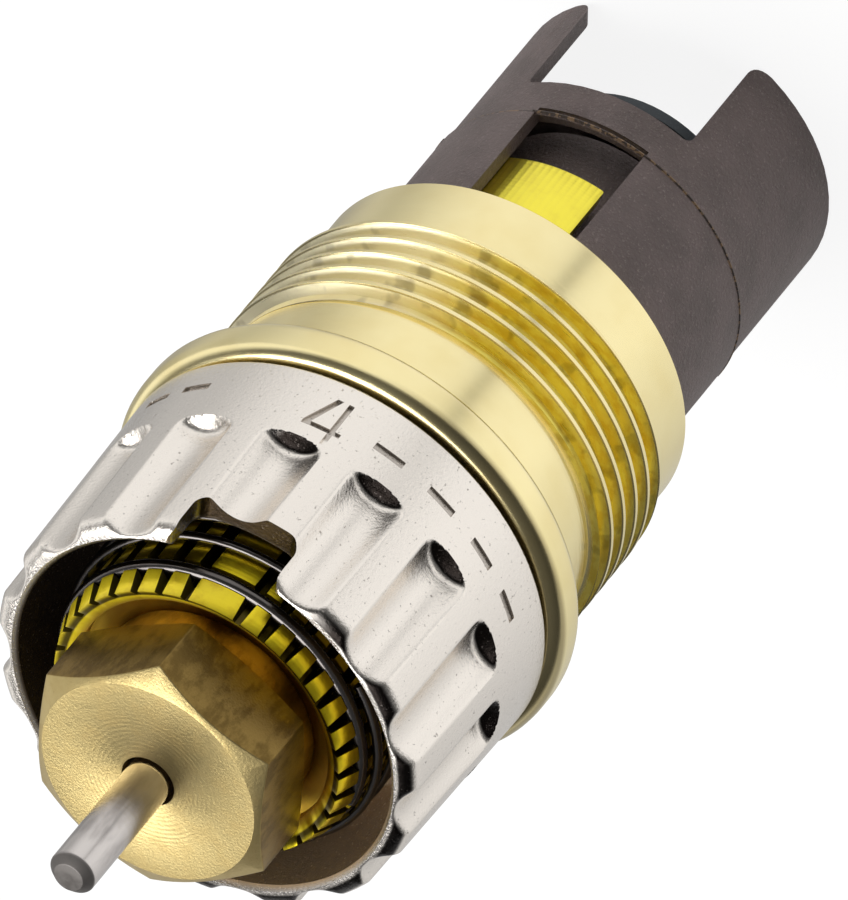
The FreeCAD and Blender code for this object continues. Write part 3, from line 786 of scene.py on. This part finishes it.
def close_ends(piece):
    """Fill the open ends of a tube."""
    start_fresh()
    bpy.context.view_layer.objects.active = piece
    piece.select_set(True)
    bpy.ops.object.mode_set(mode="EDIT")
    bpy.ops.mesh.select_mode(type="VERT")
    bpy.ops.mesh.select_all(action="DESELECT")
    bpy.ops.mesh.select_non_manifold()
    bpy.ops.mesh.fill_holes(sides=0)
    close_up()


def apply_modifier(piece, kind, **settings):
    """Add a modifier with its settings and apply it."""
    start_fresh()
    bpy.context.view_layer.objects.active = piece
    piece.select_set(True)
    modifier = piece.modifiers.new(kind.title(), kind)
    for name, value in settings.items():
        setattr(modifier, name, value)
    bpy.ops.object.modifier_apply(modifier=modifier.name)


def combine(piece, tool, operation):
    """Cut a tool out of a piece, or keep what they share, and drop the tool."""
    apply_modifier(piece, "BOOLEAN", object=tool, operation=operation, solver="EXACT")
    bpy.data.objects.remove(tool)


def break_edges(piece, width, angle=35, segments=2):
    """Round every sharp edge a little."""
    apply_modifier(piece, "BEVEL", width=width * MM, segments=segments, limit_method="ANGLE",
                   angle_limit=math.radians(angle), use_clamp_overlap=True)


def joined(pieces):
    """Make one object of several closed shells."""
    start_fresh()
    for piece in pieces:
        piece.select_set(True)
    bpy.context.view_layer.objects.active = pieces[0]
    bpy.ops.object.join()
    return pieces[0]


def weld(piece, distance=0.003):
    """Merge the slivers that a cut leaves."""
    start_fresh()
    bpy.context.view_layer.objects.active = piece
    piece.select_set(True)
    bpy.ops.object.mode_set(mode="EDIT")
    close_up(distance)


def round_edges(piece, chosen, width, segments):
    """Round the edges whose two ends, in millimetres, pass a test."""
    mesh = piece.data
    weights = mesh.attributes.new("bevel_weight_edge", "FLOAT", "EDGE")
    points = [vertex.co / MM for vertex in mesh.vertices]
    for edge in mesh.edges:
        first, second = edge.vertices
        if chosen(points[first], points[second]):
            weights.data[edge.index].value = 1.0
    apply_modifier(piece, "BEVEL", width=width * MM, segments=segments, limit_method="WEIGHT")
    mesh.attributes.remove(mesh.attributes["bevel_weight_edge"])


def put_in_place(piece, node, material, smooth=30):
    """Shade, paint and mount a piece that stands for a node of the frame."""
    start_fresh()
    bpy.context.view_layer.objects.active = piece
    piece.select_set(True)
    bpy.ops.object.shade_smooth_by_angle(angle=math.radians(smooth))
    piece.data.materials.clear()
    piece.data.materials.append(material)
    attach(piece, frame["nodes"][node]["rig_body"])
    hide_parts(node)


def repaint(nodes, material):
    """Give nodes of the frame a finish and leave their shape alone."""
    for node in nodes:
        target = frame["nodes"][node]
        if not target.material_slots:
            target.data.materials.append(None)
        for place in target.material_slots:
            place.link = "OBJECT"
            place.material = material


# Operators

class BuildSeals(bpy.types.Operator):
    """Paint the round seals and the cone seal"""

    bl_idname = "valve_insert.seals"
    bl_label = "Seals"

    def execute(self, context):
        colours = context.scene.finish_colours
        repaint(["cylinder_oring", "gland_inner_oring", "gland_outer_oring"],
                rubber_finish("seal_rubber", colours.seal_rubber))
        repaint(["cone_seal"], rubber_finish("cone_rubber", colours.cone_rubber))
        return {"FINISHED"}


class BuildBody(bpy.types.Operator):
    """Turn the valve body and cut its thread"""

    bl_idname = "valve_insert.body"
    bl_label = "Valve body"

    def execute(self, context):
        common = in_mm(context.scene.shared_sizes)
        sizes = in_mm(context.scene.body_sizes)
        body = turned("turned_body", rounded([
            (sizes.seat_radius, common.body_end, 0),
            (sizes.band_radius - sizes.end_chamfer, common.body_end, 0),
            (sizes.band_radius, common.body_end + sizes.end_chamfer, 0),
            (sizes.band_radius, sizes.thread_low, 0),
            (sizes.thread_radius, sizes.thread_low + sizes.lead, 0),
            (sizes.thread_radius, sizes.thread_high - sizes.thread_end, 0),
            (sizes.collar_radius, sizes.thread_high, 0),
            (sizes.collar_radius, sizes.collar_high, sizes.collar_fillet),
            (sizes.bead_radius, sizes.collar_high, sizes.bead_round),
            (sizes.bead_radius, common.bead_top, sizes.bead_round),
            (sizes.neck_radius, common.bead_top, 0),
            (sizes.neck_radius, common.neck_top, 0),
            (common.bore_radius, common.neck_top, 0),
            (common.bore_radius, sizes.snap_high, 0),
            (sizes.snap_radius, sizes.snap_high, 0),
            (sizes.snap_radius, sizes.snap_low, 0),
            (common.bore_radius, sizes.snap_low, 0),
            (common.bore_radius, common.cage_top, 0),
            (sizes.seat_radius, common.cage_top, 0),
        ], 7), BODY_STEPS)
        combine(body, self.thread_groove(sizes), "DIFFERENCE")
        put_in_place(body, "valve_body",
                     body_brass_finish(context.scene.finish_colours, common, sizes))
        return {"FINISHED"}

    def thread_groove(self, sizes):
        """Helical groove from below the thread's lead to past its end."""
        reach = sizes.thread_radius + OVERSHOOT
        half = sizes.root_flat / 2
        wide = half + (reach - sizes.root_radius) * math.tan(math.radians(THREAD_FLANK))
        corners = [(sizes.root_radius, -half), (sizes.root_radius, half), (reach, wide),
                   (reach, -wide)]
        groove = draw_profile("thread_groove", [
            Vector((radius, sizes.first_groove + height)) for radius, height in corners])
        bpy.ops.object.mode_set(mode="OBJECT")
        turns = math.ceil(sizes.thread_high + OVERSHOOT - sizes.first_groove)
        apply_modifier(groove, "SCREW", axis="Z", angle=math.tau, iterations=turns,
                       steps=BODY_STEPS, render_steps=BODY_STEPS,
                       screw_offset=sizes.pitch * MM, use_merge_vertices=False)
        close_ends(groove)
        return groove


class BuildCage(bpy.types.Operator):
    """Mould the valve cage with its prongs, windows and guide tube"""

    bl_idname = "valve_insert.cage"
    bl_label = "Valve cage"

    def execute(self, context):
        common = in_mm(context.scene.shared_sizes)
        sizes = in_mm(context.scene.cage_sizes)
        cage = turned("moulded_cage", [Vector(corner) for corner in [
            (common.bore_radius, 0), (sizes.foot_radius, 0),
            (sizes.foot_radius, sizes.seam - sizes.seam_slope),
            (sizes.radius, sizes.seam + sizes.seam_slope), (sizes.radius, common.cage_top),
            (common.bore_radius, common.cage_top),
        ]], CAGE_STEPS)
        # A small turn keeps the columns away from the cuts
        turn(cage, 1)
        gap = radial("prong_gap", slot_corners(sizes.gap_half_width, sizes.gap_rim, 0,
                                               sizes.gap_round, sizes.tip_round),
                     -FAR_RADIUS, FAR_RADIUS, PRONG_GAP_ANGLE)
        half = sizes.window_half_width
        window = radial("window", [
            (-half, sizes.window_low), (half, sizes.window_low), (half, sizes.window_high),
            (-half, sizes.window_high)], sizes.window_reach, FAR_RADIUS, WINDOW_ANGLE)
        combine(cage, joined([gap, window, copied(window, 180)]), "DIFFERENCE")
        weld(cage)
        break_edges(cage, sizes.edge_round)
        combine(cage, self.guide_tube(sizes), "UNION")
        cage = joined([cage, self.flash_line(sizes, 0), self.flash_line(sizes, 180)])
        put_in_place(cage, "valve_cage",
                     plastic_finish(context.scene.finish_colours, sizes), 40)
        return {"FINISHED"}

    def guide_tube(self, sizes):
        """Tube that guides the spindle, on its four ribs."""
        tube = turned("guide_tube", [Vector(corner) for corner in [
            (sizes.tube_bore, sizes.tube_low), (sizes.tube_radius, sizes.tube_low),
            (sizes.tube_radius, sizes.tube_top), (sizes.spindle_bore, sizes.tube_top),
            (sizes.spindle_bore, sizes.tube_floor), (sizes.tube_bore, sizes.tube_floor),
        ]], 72)
        half = sizes.rib_half_width
        ribs = []
        for angle in (RIB_ANGLE, 180 - RIB_ANGLE, 180 + RIB_ANGLE, 360 - RIB_ANGLE):
            ribs.append(radial("rib", [(-half, sizes.tube_low), (half, sizes.tube_low),
                                       (half, sizes.rib_top), (-half, sizes.rib_top)],
                               sizes.rib_near, sizes.rib_far, PRONG_GAP_ANGLE + angle))
        combine(tube, joined(ribs), "UNION")
        return tube

    def flash_line(self, sizes, start):
        """Thin ridge where the mould's halves met, between the windows."""
        half_gap = math.degrees(math.asin(sizes.window_half_width / sizes.radius)) + 1
        root = sizes.radius - 0.11
        crest = sizes.radius + sizes.flash
        ridge = draw_profile("flash_line", [
            Vector((radius, sizes.seam + rise)) for radius, rise in (
                (root, -0.03), (sizes.radius, 0), (crest, 0.05), (crest, 0.08), (root, 0.16))])
        sweep = 180 - 2 * half_gap
        bpy.ops.mesh.spin(steps=70, angle=math.radians(sweep), center=(0, 0, 0), axis=(0, 0, 1))
        bpy.ops.object.mode_set(mode="OBJECT")
        close_ends(ridge)
        turn(ridge, WINDOW_ANGLE + half_gap + start)
        return ridge


class BuildCylinder(bpy.types.Operator):
    """Turn the setting cylinder and mill its crown"""

    bl_idname = "valve_insert.cylinder"
    bl_label = "Setting cylinder"

    def execute(self, context):
        common = in_mm(context.scene.shared_sizes)
        sizes = in_mm(context.scene.cylinder_sizes)
        dish_radius = sizes.tip_radius - sizes.taper - sizes.face_width
        cylinder = turned("milled_cylinder", [Vector(corner) for corner in [
            (sizes.skirt_bore, sizes.skirt_end), (sizes.radius, sizes.skirt_end),
            (sizes.radius, sizes.snap_low), (sizes.snap_radius, sizes.snap_low),
            (sizes.snap_radius, sizes.snap_high), (sizes.radius, sizes.snap_high),
            (sizes.radius, sizes.seal_low), (sizes.seal_radius, sizes.seal_low),
            (sizes.seal_radius, sizes.seal_high), (sizes.radius, sizes.seal_high),
            (sizes.radius, common.neck_top), (sizes.tip_radius, common.neck_top),
            (sizes.tip_radius, common.groove_low), (sizes.radius, common.groove_low),
            (sizes.radius, common.groove_high), (sizes.tip_radius, common.groove_high),
            (sizes.tip_radius - sizes.taper, common.crown_top),
            (dish_radius, common.crown_top - sizes.dish), (dish_radius, common.recess),
            (sizes.thread_bore, common.recess), (sizes.thread_bore, sizes.thread_bore_low),
            (sizes.passage_radius, sizes.thread_bore_low), (sizes.passage_radius, sizes.floor),
            (sizes.room_radius, sizes.floor), (sizes.room_radius, sizes.room_low),
            (sizes.skirt_bore, sizes.room_low),
        ]], 4 * CROWN_PITCHES)
        turn(cylinder, CROWN_KEY_ANGLE + 45 / CROWN_PITCHES)
        near = sizes.root_radius - 1
        far = sizes.cut_radius - OVERSHOOT
        above = common.crown_top + 1
        waste = turned("crown_waste", [Vector(corner) for corner in [
            (near, common.neck_top), (far, common.neck_top), (far, above), (near, above)]], 90)
        combine(waste, crown_prism(sizes, sizes.cut_radius, 0, common.neck_top - 1, above + 1),
                "DIFFERENCE")
        combine(cylinder, waste, "DIFFERENCE")
        opening = self.skirt_opening(sizes)
        combine(cylinder, joined([opening, copied(opening, 180)]), "DIFFERENCE")
        weld(cylinder)
        wall = sizes.radius - sizes.skirt_bore

        def across_skirt_end(first, second):
            """True for the short edges across the skirt's lower corners."""
            low = max(abs(first.z - sizes.skirt_end), abs(second.z - sizes.skirt_end)) < 0.01
            return low and abs(first.xy.length - second.xy.length) > wall - 0.05

        round_edges(cylinder, across_skirt_end, sizes.skirt_corner, 4)
        break_edges(cylinder, sizes.edge_round)
        put_in_place(cylinder, "setting_cylinder",
                     bright_brass_finish(context.scene.finish_colours, common, sizes))
        return {"FINISHED"}

    def skirt_opening(self, sizes):
        """Wedge that opens the skirt over most of a half turn."""
        start = SKIRT_EDGE_ANGLE - SKIRT_OPENING
        near = sizes.skirt_bore - 1
        return upright("skirt_opening", [
            polar(near, start), polar(FAR_RADIUS, start),
            polar(2 * FAR_RADIUS, start + SKIRT_OPENING / 2),
            polar(FAR_RADIUS, SKIRT_EDGE_ANGLE), polar(near, SKIRT_EDGE_ANGLE)],
            sizes.skirt_end - 1, sizes.opening_top)


def crown_prism(sizes, tip, clearance, low, high):
    """Prism on the crown's plan, with its tips out at a given radius."""
    slope = (sizes.notch_top - sizes.notch_bottom) / (sizes.tip_radius - sizes.root_radius)
    root = sizes.root_radius + clearance
    half_bottom = math.degrees((sizes.notch_bottom - clearance) / sizes.root_radius)
    half_tip = sizes.notch_top - clearance + (tip - clearance - sizes.tip_radius) * slope
    half_top = math.degrees(half_tip / tip)
    pitch = 360 / CROWN_PITCHES
    corners = []
    for number in range(1, CROWN_PITCHES):
        centre = CROWN_KEY_ANGLE + number * pitch
        corners += [polar(tip, centre - half_top), polar(root, centre - half_bottom),
                    polar(root, centre + half_bottom), polar(tip, centre + half_top)]
    corners.append(polar(tip, CROWN_KEY_ANGLE))
    return upright("crown_prism", corners, low, high)


class BuildRing(bpy.types.Operator):
    """Form the setting ring with its flutes, notch and scale"""

    bl_idname = "valve_insert.ring"
    bl_label = "Setting ring"

    # Places of the scale's dashes: angle about the axis and height
    dashes = ((275.0, 30.4), (258.7, 30.4), (242.7, 30.4), (227.6, 30.4),
              (330.5, 29.9), (343.8, 29.9))
    digit_angle = 292.0
    digit_foot = 31.75

    def execute(self, context):
        common = in_mm(context.scene.shared_sizes)
        sizes = in_mm(context.scene.ring_sizes)
        crown = in_mm(context.scene.cylinder_sizes)
        ring = turned("fluted_ring", self.wall_profile(sizes), RING_STEPS)
        self.sink_flutes(ring, sizes)
        inner = crown.root_radius - 1
        flange = turned("flange", [Vector(corner) for corner in [
            (inner, common.neck_top), (sizes.flange_reach, common.neck_top),
            (sizes.flange_reach, common.flange_top), (inner, common.flange_top)]], 144)
        combine(flange, crown_prism(crown, crown.tip_radius + sizes.fit, sizes.fit,
                                    common.neck_top - 1, common.flange_top + 1), "DIFFERENCE")
        combine(ring, flange, "UNION")
        notch = radial("rim_notch", slot_corners(
            sizes.notch_half_width, sizes.top - sizes.notch_depth, sizes.top, sizes.notch_round,
            sizes.notch_mouth), crown.root_radius, FAR_RADIUS, RIM_NOTCH_ANGLE)
        combine(ring, joined([notch, *self.dash_tools(sizes), *self.digit_tools(sizes)]),
                "DIFFERENCE")
        put_in_place(ring, "setting_ring",
                     nickel_finish(context.scene.finish_colours, sizes), 35)
        return {"FINISHED"}

    def wall_profile(self, sizes):
        """Half section of the wall, with close rows where the flutes end."""
        flute_top = sizes.top - sizes.flute_length
        heights = [sizes.low + 0.6, sizes.low + 1.5, sizes.low + 2.4]
        heights += [flute_top + sizes.flute_end * (step / 14 - 0.25) for step in range(19)]
        while heights[-1] < sizes.top - 2:
            heights.append(heights[-1] + 0.8)
        outer = [(self.wall_radius(sizes, height), height, 0) for height in heights]
        return rounded([
            (sizes.bore, sizes.low, 0), (sizes.base_radius, sizes.low, sizes.base_round), *outer,
            (sizes.rim_radius, sizes.top, sizes.rim_round),
            (sizes.bore + sizes.mouth, sizes.top, 0),
            (sizes.bore, sizes.top - sizes.mouth, 0)], 10)

    def wall_radius(self, sizes, height):
        """Radius of the plain wall, which narrows towards the rim."""
        share = (height - sizes.low) / (sizes.top - sizes.low)
        return sizes.base_radius + (sizes.rim_radius - sizes.base_radius) * share

    def flute_inset(self, sizes, angle, height, wall):
        """How deep the flutes go at a place of the wall, with washed out edges."""
        pitch = 360 / FLUTES
        away = math.radians((angle - FLUTE_ANGLE + pitch / 2) % pitch - pitch / 2)
        centre = sizes.rim_radius - sizes.flute_depth + sizes.flute_radius
        open_z = sizes.top - sizes.flute_length + sizes.flute_end
        half_chord = math.sqrt(sizes.flute_radius ** 2 - (centre - wall) ** 2)
        beyond = max(open_z - height, 0) / sizes.flute_end
        off = math.hypot(centre * math.sin(away), beyond ** 2 * half_chord)
        if off >= sizes.flute_radius:
            return 0.0
        floor = centre * math.cos(away) - math.sqrt(sizes.flute_radius ** 2 - off ** 2)
        soft = sizes.flute_soft * (1 - 0.75 * min(beyond, 1))
        blend = min(max(0.5 + 0.5 * (floor - wall) / soft, 0), 1)
        return (wall - floor) * (1 - blend) + soft * blend * (1 - blend)

    def sink_flutes(self, ring, sizes):
        """Move the wall's points in to the flutes; the rim's rounding follows them."""
        keep = sizes.bore + sizes.mouth
        for vertex in ring.data.vertices:
            place = vertex.co / MM
            radius = place.xy.length
            if radius <= keep + 0.01 or place.z < sizes.low + sizes.base_round:
                continue
            wall = self.wall_radius(sizes, place.z)
            angle = math.degrees(math.atan2(place.y, place.x))
            inset = self.flute_inset(sizes, angle, place.z, wall)
            share = (radius - keep) / (wall - keep)
            vertex.co.xy *= (radius - inset * share) / radius

    def dash_tools(self, sizes):
        """One block for each dash of the scale."""
        tools = []
        for angle, height in self.dashes:
            near = self.wall_radius(sizes, height) - sizes.mark_depth
            half = sizes.dash_length / 2
            tools.append(radial("dash", [
                (-half, height - sizes.dash_height / 2), (half, height - sizes.dash_height / 2),
                (half, height + sizes.dash_height / 2), (-half, height + sizes.dash_height / 2)],
                near, near + 1, angle))
        return tools

    def digit_tools(self, sizes):
        """Plain digit 4, open at its top, that reads with the rim below it."""
        half = sizes.digit_width / 2
        stroke = sizes.stroke
        stem = half * 0.4
        bar = sizes.digit_height * 0.26
        foot = -half * 0.2
        shape = [
            (stem, 0), (stem, bar), (-half, bar), (-half, bar + stroke),
            (foot, sizes.digit_height), (foot + stroke * 1.1, sizes.digit_height),
            (-half + stroke * 1.4, bar + stroke), (stem, bar + stroke),
            (stem, sizes.digit_height), (stem + stroke, sizes.digit_height),
            (stem + stroke, bar + stroke), (half, bar + stroke), (half, bar),
            (stem + stroke, bar), (stem + stroke, 0)]
        near = self.wall_radius(sizes, self.digit_foot) - sizes.mark_depth
        corners = [(-across, self.digit_foot - up) for across, up in shape]
        return [radial("digit", corners, near, near + 1, self.digit_angle)]


class BuildGland(bpy.types.Operator):
    """Turn the gland nut and mill its hexagon"""

    bl_idname = "valve_insert.gland"
    bl_label = "Gland nut"

    def execute(self, context):
        common = in_mm(context.scene.shared_sizes)
        sizes = in_mm(context.scene.gland_sizes)
        face = sizes.flats / 2 - sizes.face_margin
        corner_radius = sizes.flats / math.sqrt(3)
        blank = corner_radius + OVERSHOOT
        drop = (blank - face) * math.tan(math.radians(CHAMFER_SLOPE))
        gland = turned("hexagon_gland", [Vector(corner) for corner in [
            (sizes.chamber_radius, sizes.shank_low), (sizes.shank_radius, sizes.shank_low),
            (sizes.shank_radius, sizes.seal_low), (sizes.seal_radius, sizes.seal_low),
            (sizes.seal_radius, common.recess), (sizes.neck_radius, common.recess),
            (sizes.neck_radius, sizes.hex_low), (face, sizes.hex_low),
            (blank, sizes.hex_low + drop / 2), (blank, sizes.top - drop),
            (face, sizes.top), (sizes.mouth_radius, sizes.top),
            (sizes.mouth_radius, sizes.top - sizes.mouth_depth),
            (sizes.guide_radius, sizes.top - sizes.mouth_depth),
            (sizes.guide_radius, sizes.chamber_top), (sizes.chamber_radius, sizes.chamber_top),
        ]], 180)
        turn(gland, 1)
        hexagon = upright("hexagon", [
            polar(corner_radius, GLAND_ANGLE + 60 * number) for number in range(6)],
            sizes.shank_low - 1, sizes.top + 1)
        combine(gland, hexagon, "INTERSECT")
        weld(gland)
        break_edges(gland, sizes.edge_round)
        material = gland_brass_finish(context.scene.finish_colours, sizes)
        put_in_place(gland, "gland_nut", material)
        repaint(["gland_plug"], material)
        return {"FINISHED"}


class BuildSprings(bpy.types.Operator):
    """Wind the springs and bend the retaining clip"""

    bl_idname = "valve_insert.springs"
    bl_label = "Springs and clip"

    def execute(self, context):
        sizes = in_mm(context.scene.wire_sizes)
        pin = in_mm(context.scene.pin_sizes)
        material = steel_finish("spring_steel", context.scene.finish_colours.spring_steel, 0.16,
                                pin.tip)
        ring_spring = wound("ring_coil", sizes.ring_spring_wire, sizes.ring_spring_radius,
                            sizes.ring_spring_low, sizes.ring_spring_high, RING_SPRING_TURNS,
                            RING_SPRING_START)
        put_in_place(ring_spring, "ring_spring", material, 50)
        self.squash_spring(ring_spring, "ring_pull", sizes.ring_spring_high,
                           sizes.ring_spring_high - sizes.ring_spring_low)
        return_spring = wound("return_coil", sizes.return_wire, sizes.return_radius,
                              sizes.return_low, sizes.return_high, RETURN_SPRING_TURNS, 0)
        put_in_place(return_spring, "return_spring", material, 50)
        self.squash_spring(return_spring, "stem_press", sizes.return_low,
                           sizes.return_high - sizes.return_low)
        self.bend_clip(sizes, material)
        repaint(["snap_ring"], material)
        return {"FINISHED"}

    def squash_spring(self, spring, joint, anchor, length):
        """Give a spring its own mesh; the joint's travel is read, but the spring is not made
        shorter.
        """
        limits = [row["range_m"] for row in frame["joints"] if row["name"] == joint][0]
        travel = max(limits) / MM
        1 - travel / length
        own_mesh(spring)

    def bend_clip(self, sizes, material):
        """Open ring of wire with rounded ends."""
        start_fresh()
        bpy.ops.mesh.primitive_circle_add(vertices=20, radius=sizes.clip_wire / 2 * MM,
                                          enter_editmode=True,
                                          rotation=(math.radians(90), 0, 0))
        clip = bpy.context.object
        clip.name = "bent_clip"
        bpy.ops.transform.translate(value=(sizes.clip_radius * MM, 0, sizes.clip_height * MM))
        bpy.ops.object.mode_set(mode="OBJECT")
        bpy.ops.object.transform_apply(location=True, rotation=True, scale=True)
        bpy.ops.object.mode_set(mode="EDIT")
        bpy.ops.mesh.select_all(action="SELECT")
        bpy.ops.mesh.spin(steps=112, angle=math.radians(360 - CLIP_GAP_ANGLE), center=(0, 0, 0),
                          axis=(0, 0, 1))
        bpy.ops.object.mode_set(mode="OBJECT")
        close_ends(clip)
        break_edges(clip, sizes.clip_end, 60, 3)
        turn(clip, CLIP_GAP_CENTRE + CLIP_GAP_ANGLE / 2)
        put_in_place(clip, "retaining_clip", material, 40)


class BuildStem(bpy.types.Operator):
    """Turn the pressure pin and dress the stem"""

    bl_idname = "valve_insert.stem"
    bl_label = "Stem"

    def execute(self, context):
        sizes = in_mm(context.scene.pin_sizes)
        material = steel_finish("steel", context.scene.finish_colours.steel, 0.16, sizes.tip)
        pin = turned("ground_pin", rounded([
            (0, sizes.low, 0), (sizes.radius, sizes.low, 0),
            (sizes.radius, sizes.tip - sizes.chamfer, sizes.soft),
            (sizes.radius - sizes.chamfer, sizes.tip, sizes.soft), (0, sizes.tip, 0)], 3), 64)
        put_in_place(pin, "pressure_pin", material)
        repaint(["spindle", "spring_cap", "cone_holder", "seal_washer", "spindle_nut",
                 "spring_seat"], material)
        return {"FINISHED"}


class BuildStage(bpy.types.Operator):
    """Set up the floor, the light and the camera"""

    bl_idname = "valve_insert.stage"
    bl_label = "Stage"

    # (turn from the camera's side in degrees, brightness) of a painted reflection: stripes in which
    # the floor glows for glossy and transmission rays only, so that metal mirrors them
    painted_reflection_tones = (
        (-180, 0.58), (-142, 0.56), (-114, 0.62), (-86, 0.76), (-58, 0.9), (-44, 1.0),
        (-16, 0.97), (-7, 0.88), (-2, 0.34), (3, 0.86), (12, 0.94), (40, 0.97), (54, 0.92),
        (68, 0.8), (82, 0.62), (96, 0.5), (110, 0.58), (124, 0.46), (138, 0.36),
        (152, 0.46), (180, 0.6),
    )

    # The room's bright lower part reaches higher on the +X side; (height, brightness) above it
    horizon_tilt = (-0.22, -0.12, 1.0)
    room_tones = ((0.0, 1.0), (0.12, 0.9), (0.36, 0.07), (1.0, 0.2))

    lamp_width = 0.2
    lamp_place = Vector((0.03, 0.035, 0.225))
    lamp_aim = Vector((0, 0, 0.02))

    # The photograph's view: its directions, and the point in millimetres at its middle
    view_right = Vector((-0.771, -0.4166, -0.482))
    view_forward = Vector((0, 0.7566, -0.654))
    view_middle = Vector((-0.092, 3.232, 17.938))
    lens = 1500

    def execute(self, context):
        settings = context.scene.stage_settings
        start_fresh()
        bpy.ops.mesh.primitive_circle_add(vertices=96, radius=settings.floor_reach,
                                          fill_type="NGON")
        floor = context.object
        floor.name = "floor"
        floor.data.materials.append(self.floor_finish())
        self.light_world(context.scene)
        self.hang_lamp(settings)
        self.place_camera(context.scene, settings)
        context.scene.view_settings.view_transform = "Standard"
        return {"FINISHED"}

    def floor_finish(self):
        finish = Finish("pale_floor", {"Roughness": 0.9, "Base Color": (0.82, 0.82, 0.82, 1.0)})
        turn = finish.formula("ARCTAN2", finish.x, 0.0 - finish.y) / math.tau + 0.5
        stops = [((angle + 180) / 360, value) for angle, value in self.painted_reflection_tones]
        tones = finish.add("ShaderNodeValToRGB", {"stops": stops}, {0: turn})
        # Painted reflection: this glow is seen only by glossy and transmission rays
        glow = finish.add("ShaderNodeEmission", {}, {"Color": tones, "Strength": 1.0})
        white = finish.add("ShaderNodeEmission", {}, {"Color": (1, 1, 1, 1), "Strength": 1.1})
        camera = finish.add("ShaderNodeLightPath", {}, {}, "Is Camera Ray")
        glossy = finish.add("ShaderNodeLightPath", {}, {}, "Is Glossy Ray")
        through = finish.add("ShaderNodeLightPath", {}, {}, "Is Transmission Ray")
        matt = Signal(finish, finish.shader.outputs[0])
        seen = finish.add("ShaderNodeMixShader", {}, {0: camera * 0.8, 1: matt, 2: white})
        shown = finish.add("ShaderNodeMixShader", {},
                           {0: finish.formula("MAXIMUM", glossy, through), 1: seen, 2: glow})
        output = finish.tree.nodes["Material Output"]
        finish.tree.links.new(shown.socket, output.inputs["Surface"])
        return finish.material

    def light_world(self, scene):
        world = bpy.data.worlds.new("studio")
        world.use_nodes = True
        scene.world = world
        nodes = world.node_tree.nodes
        links = world.node_tree.links
        place = nodes.new("ShaderNodeTexCoord")
        tilt = nodes.new("ShaderNodeVectorMath")
        tilt.operation = "DOT_PRODUCT"
        tilt.inputs[1].default_value = self.horizon_tilt
        ramp = nodes.new("ShaderNodeValToRGB")
        links.new(place.outputs["Generated"], tilt.inputs[0])
        links.new(tilt.outputs["Value"], ramp.inputs[0])
        set_stops(ramp.color_ramp, self.room_tones)
        links.new(ramp.outputs[0], nodes["Background"].inputs["Color"])
        nodes["Background"].inputs["Strength"].default_value = 1.0

    def hang_lamp(self, settings):
        data = bpy.data.lights.new("soft_lamp", "AREA")
        data.shape = "DISK"
        data.size = self.lamp_width
        data.energy = settings.lamp_power
        lamp = bpy.data.objects.new("soft_lamp", data)
        bpy.context.scene.collection.objects.link(lamp)
        lamp.location = self.lamp_place
        lamp.rotation_mode = "QUATERNION"
        lamp.rotation_quaternion = (self.lamp_aim - self.lamp_place).to_track_quat("-Z", "Y")

    def place_camera(self, scene, settings):
        data = bpy.data.cameras.new("camera")
        data.lens = self.lens
        data.sensor_width = 36
        data.clip_start = 0.1
        data.clip_end = 10
        camera = bpy.data.objects.new("camera", data)
        scene.collection.objects.link(camera)
        right = self.view_right.normalized()
        forward = self.view_forward.normalized()
        up = right.cross(forward)
        target = self.view_middle * MM
        turn = Matrix((right, up, -forward)).transposed().to_4x4()
        camera.matrix_world = Matrix.Translation(target - forward * settings.camera_distance) @ turn
        scene.camera = camera


class ValveInsertPanel(bpy.types.Panel):
    """Sizes, colours and building steps of the valve insert"""

    bl_idname = "VIEW3D_PT_valve_insert"
    bl_label = "Valve insert"
    bl_space_type = "VIEW_3D"
    bl_region_type = "UI"
    bl_category = "Valve insert"

    def draw(self, context):
        for group in GROUPS:
            box = self.layout.box()
            box.label(text=group.replace("_", " ").capitalize())
            settings = getattr(context.scene, group)
            for name in settings.bl_rna.properties.keys():
                if name not in ("name", "rna_type"):
                    box.prop(settings, name)
        for operator in OPERATORS:
            self.layout.operator(operator.bl_idname)


GROUPS = {
    "shared_sizes": SharedSizes,
    "body_sizes": BodySizes,
    "cage_sizes": CageSizes,
    "cylinder_sizes": CylinderSizes,
    "ring_sizes": RingSizes,
    "gland_sizes": GlandSizes,
    "wire_sizes": WireSizes,
    "pin_sizes": PinSizes,
    "finish_colours": FinishColours,
    "stage_settings": StageSettings,
}
OPERATORS = (BuildStage, BuildBody, BuildCage, BuildCylinder, BuildRing, BuildGland,
             BuildSprings, BuildStem, BuildSeals)
CLASSES = (*GROUPS.values(), *OPERATORS, ValveInsertPanel)


def register():
    for item in CLASSES:
        bpy.utils.register_class(item)
    for name, group in GROUPS.items():
        setattr(bpy.types.Scene, name, bpy.props.PointerProperty(type=group))


def unregister():
    for name in GROUPS:
        delattr(bpy.types.Scene, name)
    for item in reversed(CLASSES):
        bpy.utils.unregister_class(item)


def main():
    register()
    for operator in OPERATORS:
        group, name = operator.bl_idname.split(".")
        getattr(getattr(bpy.ops, group), name)()


if __name__ == "__main__":
    main()
